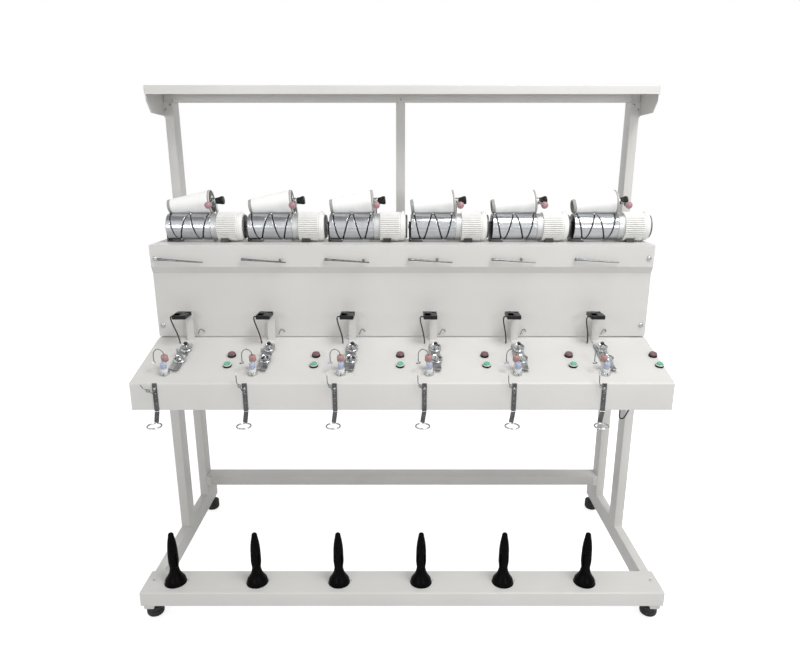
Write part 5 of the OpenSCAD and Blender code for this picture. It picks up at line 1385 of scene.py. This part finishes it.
for x, along in zip(HEAD_X, ROD_BALL_ALONG):
    ring_at, foot = (x + STRAP_X - RING_ASIDE, CONSOLE_FRONT - RING_R, RING_Z), np.array(ROD_FOOT)
    rings.append(turned(circle, ring_at, steps=72, closing="ring"))
    rods.append(turned(rod_profile, foot + (x, 0, 0), rod_axes, 24))
    rods.append(turned(ROD_PIN, foot + (x + ROD_PIN_X, 0, 0), THROUGH, 24))
    if along:
        rods.append(turned(rod_ball, foot + (x, 0, ROD_BALL_UP) + along * rod_way, steps=24))
piece("rings", rings, polished, "bright", "frame", "front_guides", sharp=50)
piece("guide_rods", rods, spring_wire, "bright", "frame", "front_guides", sharp=50)

# Push buttons. Each head has a green start button in a white bezel and, behind it on the slope, a
# brown stop button: moulded plastic in black collars, with the switches under the sheet.
BUTTON_X = 0.2775
START_S = 0.113
STOP_S = 0.185
BASE_R = 0.016
COLLAR_H = 0.0070
START_HOLE_R = 0.0124
STOP_HOLE_R = 0.0149
BEZEL_R = 0.0150
BEZEL_TOP = 0.0100
SWITCH_HALF = 0.014
SWITCH_Z = (-0.032, -0.0022)

# Moulded ABS for the caps, glossy and clear in colour, and for the bezels, a little duller; each
# is paler and darker in small patches where fingers have rubbed it
green_abs = worn_finish(
    "green_moulded_button", 0.008, 4.0, [(0.3, "#5FA886"), (0.7, "#73BA99")], 0.3)
brown_abs = worn_finish(
    "brown_moulded_button", 0.008, 4.0, [(0.3, "#694A4C"), (0.7, "#7B5A5D")], 0.3)
white_abs = worn_finish(
    "white_moulded_bezel", 0.008, 4.0, [(0.3, "#D2D2CE"), (0.7, "#E2E2DF")], 0.35)


def collar(inner, outer, low, high):
    """The closed section of a ring with a rounded upper edge."""
    return [[inner, low], [outer - 0.0004, low], [outer, low + 0.0004], [outer, high - 0.0015],
        [outer - 0.0005, high - 0.0005], [outer - 0.0015, high], [inner + 0.0004, high],
        [inner, high - 0.0004]]


def collars_at(s, *sizes):
    """A turned collar for every head, standing at the buttons' place s up the slope."""
    feet = (on_slope(x + BUTTON_X, s, 0.0) for x in HEAD_X)
    return [turned(collar(*sizes), foot, SLOPE_AXES, 48, "ring") for foot in feet]


def switch_block(x, s):
    """A small closed block under the console's sheet."""
    points, closing = rounded_box(
        (-SWITCH_HALF, -SWITCH_HALF, SWITCH_Z[0]),
        (SWITCH_HALF, SWITCH_HALF, SWITCH_Z[1]), 2, 0.002)
    return on_slope(points[..., 0] + x + BUTTON_X, points[..., 1] + s, points[..., 2]), closing


piece(
    "button_collars",
    collars_at(START_S, START_HOLE_R, BASE_R, 0.0, COLLAR_H)
    + collars_at(STOP_S, STOP_HOLE_R, BASE_R, 0.0, COLLAR_H)
    + [switch_block(x, s) for x in HEAD_X for s in (START_S, STOP_S)],
    black_abs, "black_rubber", "frame", "button_bases",
)
piece(
    "start_bezels", collars_at(START_S, START_HOLE_R, BEZEL_R, COLLAR_H, BEZEL_TOP),
    white_abs, "black_rubber", "frame", "button_bases")
start_cap = [[0.0005, 0.0055], [0.0118, 0.0055], [0.0120, 0.0060], [0.0118, 0.0125],
    [0.0112, 0.0140], [0.0100, 0.0146], [0.0080, 0.0143], [0.0005, 0.0139]]
stop_cap = [[0.0005, 0.0055], [0.0143, 0.0055], [0.0145, 0.0060], [0.0142, 0.0115],
    [0.0134, 0.0134], [0.0116, 0.0144], [0.0090, 0.0146], [0.0005, 0.0146]]
for k, x in enumerate(HEAD_X):
    for name, cap_profile, s, material, slot in (
        ("start", start_cap, START_S, green_abs, "green"),
        ("stop", stop_cap, STOP_S, brown_abs, "maroon"),
    ):
        button = f"{name}_button_{k + 1}"
        shell = turned(cap_profile, on_slope(x + BUTTON_X, s, 0.0), SLOPE_AXES, 48)
        piece(f"{name}_cap_{k + 1}", [shell], material, slot, button, button, sharp=45)

# Screws and bolts. Zinc-plated domed heads with a hexagon socket: panel bolts at both ends, creel
# shelf, gusset, centre post and strap screws.
BOLT_X = cover_x - 0.019
BOLT_Z = (1.100, 1.369)
BOLT_HEAD = (0.0095, 0.005)
SCREW_HEAD = (0.005, 0.0025)
GUSSET_SCREWS = (0.011, 0.030)
LAP_SCREW_UP = 0.010
TO_FRONT = np.array([[1, 0, 0], [0, 0, 1], [0, -1, 0]])


def socket_head(at, axes, radius, height):
    """A domed head: its outline is turned, with its middle sunk round for the socket."""
    dome = [[0.0003, 0.0], [radius, 0.0], [radius, height * 0.35], [radius * 0.93, height * 0.68],
        [radius * 0.78, height * 0.9], [radius * 0.60, height], [radius * 0.42, height],
        [radius * 0.36, height * 0.45], [0.0003, height * 0.4]]
    return turned(dome, at, axes, 36)


heads = []
for side in (-1, 1):
    heads.append(socket_head((side * BOLT_X, FLANGE_Y, BOLT_Z[1]), TO_FRONT, *BOLT_HEAD))
    heads.append(socket_head((side * BOLT_X, PANEL_Y, BOLT_Z[0]), TO_FRONT, *BOLT_HEAD))
    heads.append(socket_head((side * FOOT_X, HOLE_Y, top_z), np.eye(3), *SCREW_HEAD))
    for step in GUSSET_SCREWS:
        at = (side * (in_x + step), post_front - GUSSET_T, TOP_RAIL_Z - step)
        heads.append(socket_head(at, TO_FRONT, *SCREW_HEAD))
heads.append(
    socket_head((post_x, post_front - LAP_T, TOP_RAIL_Z + LAP_SCREW_UP), TO_FRONT, *SCREW_HEAD))
for x in HEAD_X:
    heads.append(socket_head((x + STRAP_X, STRAP_FACE, strap_screw_z), TO_FRONT, *SCREW_HEAD))
piece("screw_heads", heads, plated, "bright", "frame", "fasteners", sharp=40)

# Studio. A white floor that keeps the machine's shadow, a white surround that lights evenly and
# has a darker ceiling in polished metal, a soft lamp high above the operator's right and one on
# each side of the camera, about as high as it.
floor_mesh = bpy.data.meshes.new("floor")
floor_mesh.from_pydata([(-9, -9, 0), (9, -9, 0), (9, 9, 0), (-9, 9, 0)], [], [(0, 1, 2, 3)])
floor = bpy.data.objects.new("floor", floor_mesh)
bpy.context.scene.collection.objects.link(floor)
floor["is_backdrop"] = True
paper = empty_material("white_floor_paper")
rays = add(paper, "ShaderNodeLightPath", {}, "Is Camera Ray")
shiny = add(paper, "ShaderNodeLightPath", {}, "Is Glossy Ray")
clear = add(paper, "ShaderNodeLightPath", {}, "Is Transmission Ray")
seen = add(paper, "ShaderNodeMath", {"operation": "ADD", 0: rays, 1: clear, "use_clamp": True})
lift = add(paper, "ShaderNodeMath", {"operation": "MULTIPLY", 0: seen, 1: 0.72})
lift = add(paper, "ShaderNodeMath", {"operation": "MULTIPLY_ADD", 0: shiny, 1: 0.25, 2: lift})
lit = add(paper, "ShaderNodeBsdfDiffuse", {"Color": linear("#E4E4E4")})
glow = add(paper, "ShaderNodeEmission", {"Color": (1.0, 1.0, 1.0, 1.0), "Strength": lift})
both = add(paper, "ShaderNodeAddShader", {0: lit, 1: glow})
add(paper, "ShaderNodeOutputMaterial", {"Surface": both})
floor_mesh.materials.append(paper)

world = bpy.data.worlds.new("white_surround")
bpy.context.scene.world = world
world.use_nodes = True
world.node_tree.nodes.clear()
rays = add(world, "ShaderNodeLightPath", {}, "Is Camera Ray")
shiny = add(world, "ShaderNodeLightPath", {}, "Is Glossy Ray")
clear = add(world, "ShaderNodeLightPath", {}, "Is Transmission Ray")
seen = add(world, "ShaderNodeMath", {"operation": "ADD", 0: rays, 1: shiny, "use_clamp": True})
seen = add(world, "ShaderNodeMath", {"operation": "ADD", 0: seen, 1: clear, "use_clamp": True})
way = add(world, "ShaderNodeTexCoord", {}, "Generated")
height = add(world, "ShaderNodeSeparateXYZ", {0: way}, "Z")
ceiling = add(
    world, "ShaderNodeMapRange",
    {"Value": height, "From Min": 0.65, "From Max": 0.90, "To Min": 1.0, "To Max": 0.35})
strength = add(world, "ShaderNodeMapRange", {"Value": seen, "To Min": 0.50, "To Max": ceiling})
surround = add(world, "ShaderNodeBackground", {"Color": (1.0, 1.0, 1.0, 1.0), "Strength": strength})
add(world, "ShaderNodeOutputWorld", {"Surface": surround})


def soft_lamp(name, place, aim, size, power):
    """A square soft lamp at a place, turned to shine at a point."""
    lamp = bpy.data.lights.new(name, "AREA")
    lamp.shape = "SQUARE"
    lamp.size = size
    lamp.energy = power
    made = bpy.data.objects.new(name, lamp)
    made.location = place
    made.rotation_euler = (Vector(aim) - Vector(place)).to_track_quat("-Z", "Y").to_euler()
    bpy.context.scene.collection.objects.link(made)


soft_lamp("upper_right", (1.5, -1.7, 4.6), (0.0, 0.0, 1.0), 2.0, 110)
for side in (-1, 1):
    soft_lamp("beside_camera", (side * 1.9, -3.2, 1.9), (0.0, 0.0, 1.1), 0.6, 14)
bpy.context.scene.view_settings.view_transform = "Standard"

boxes = {"cad": cad_box, "visual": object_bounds()}
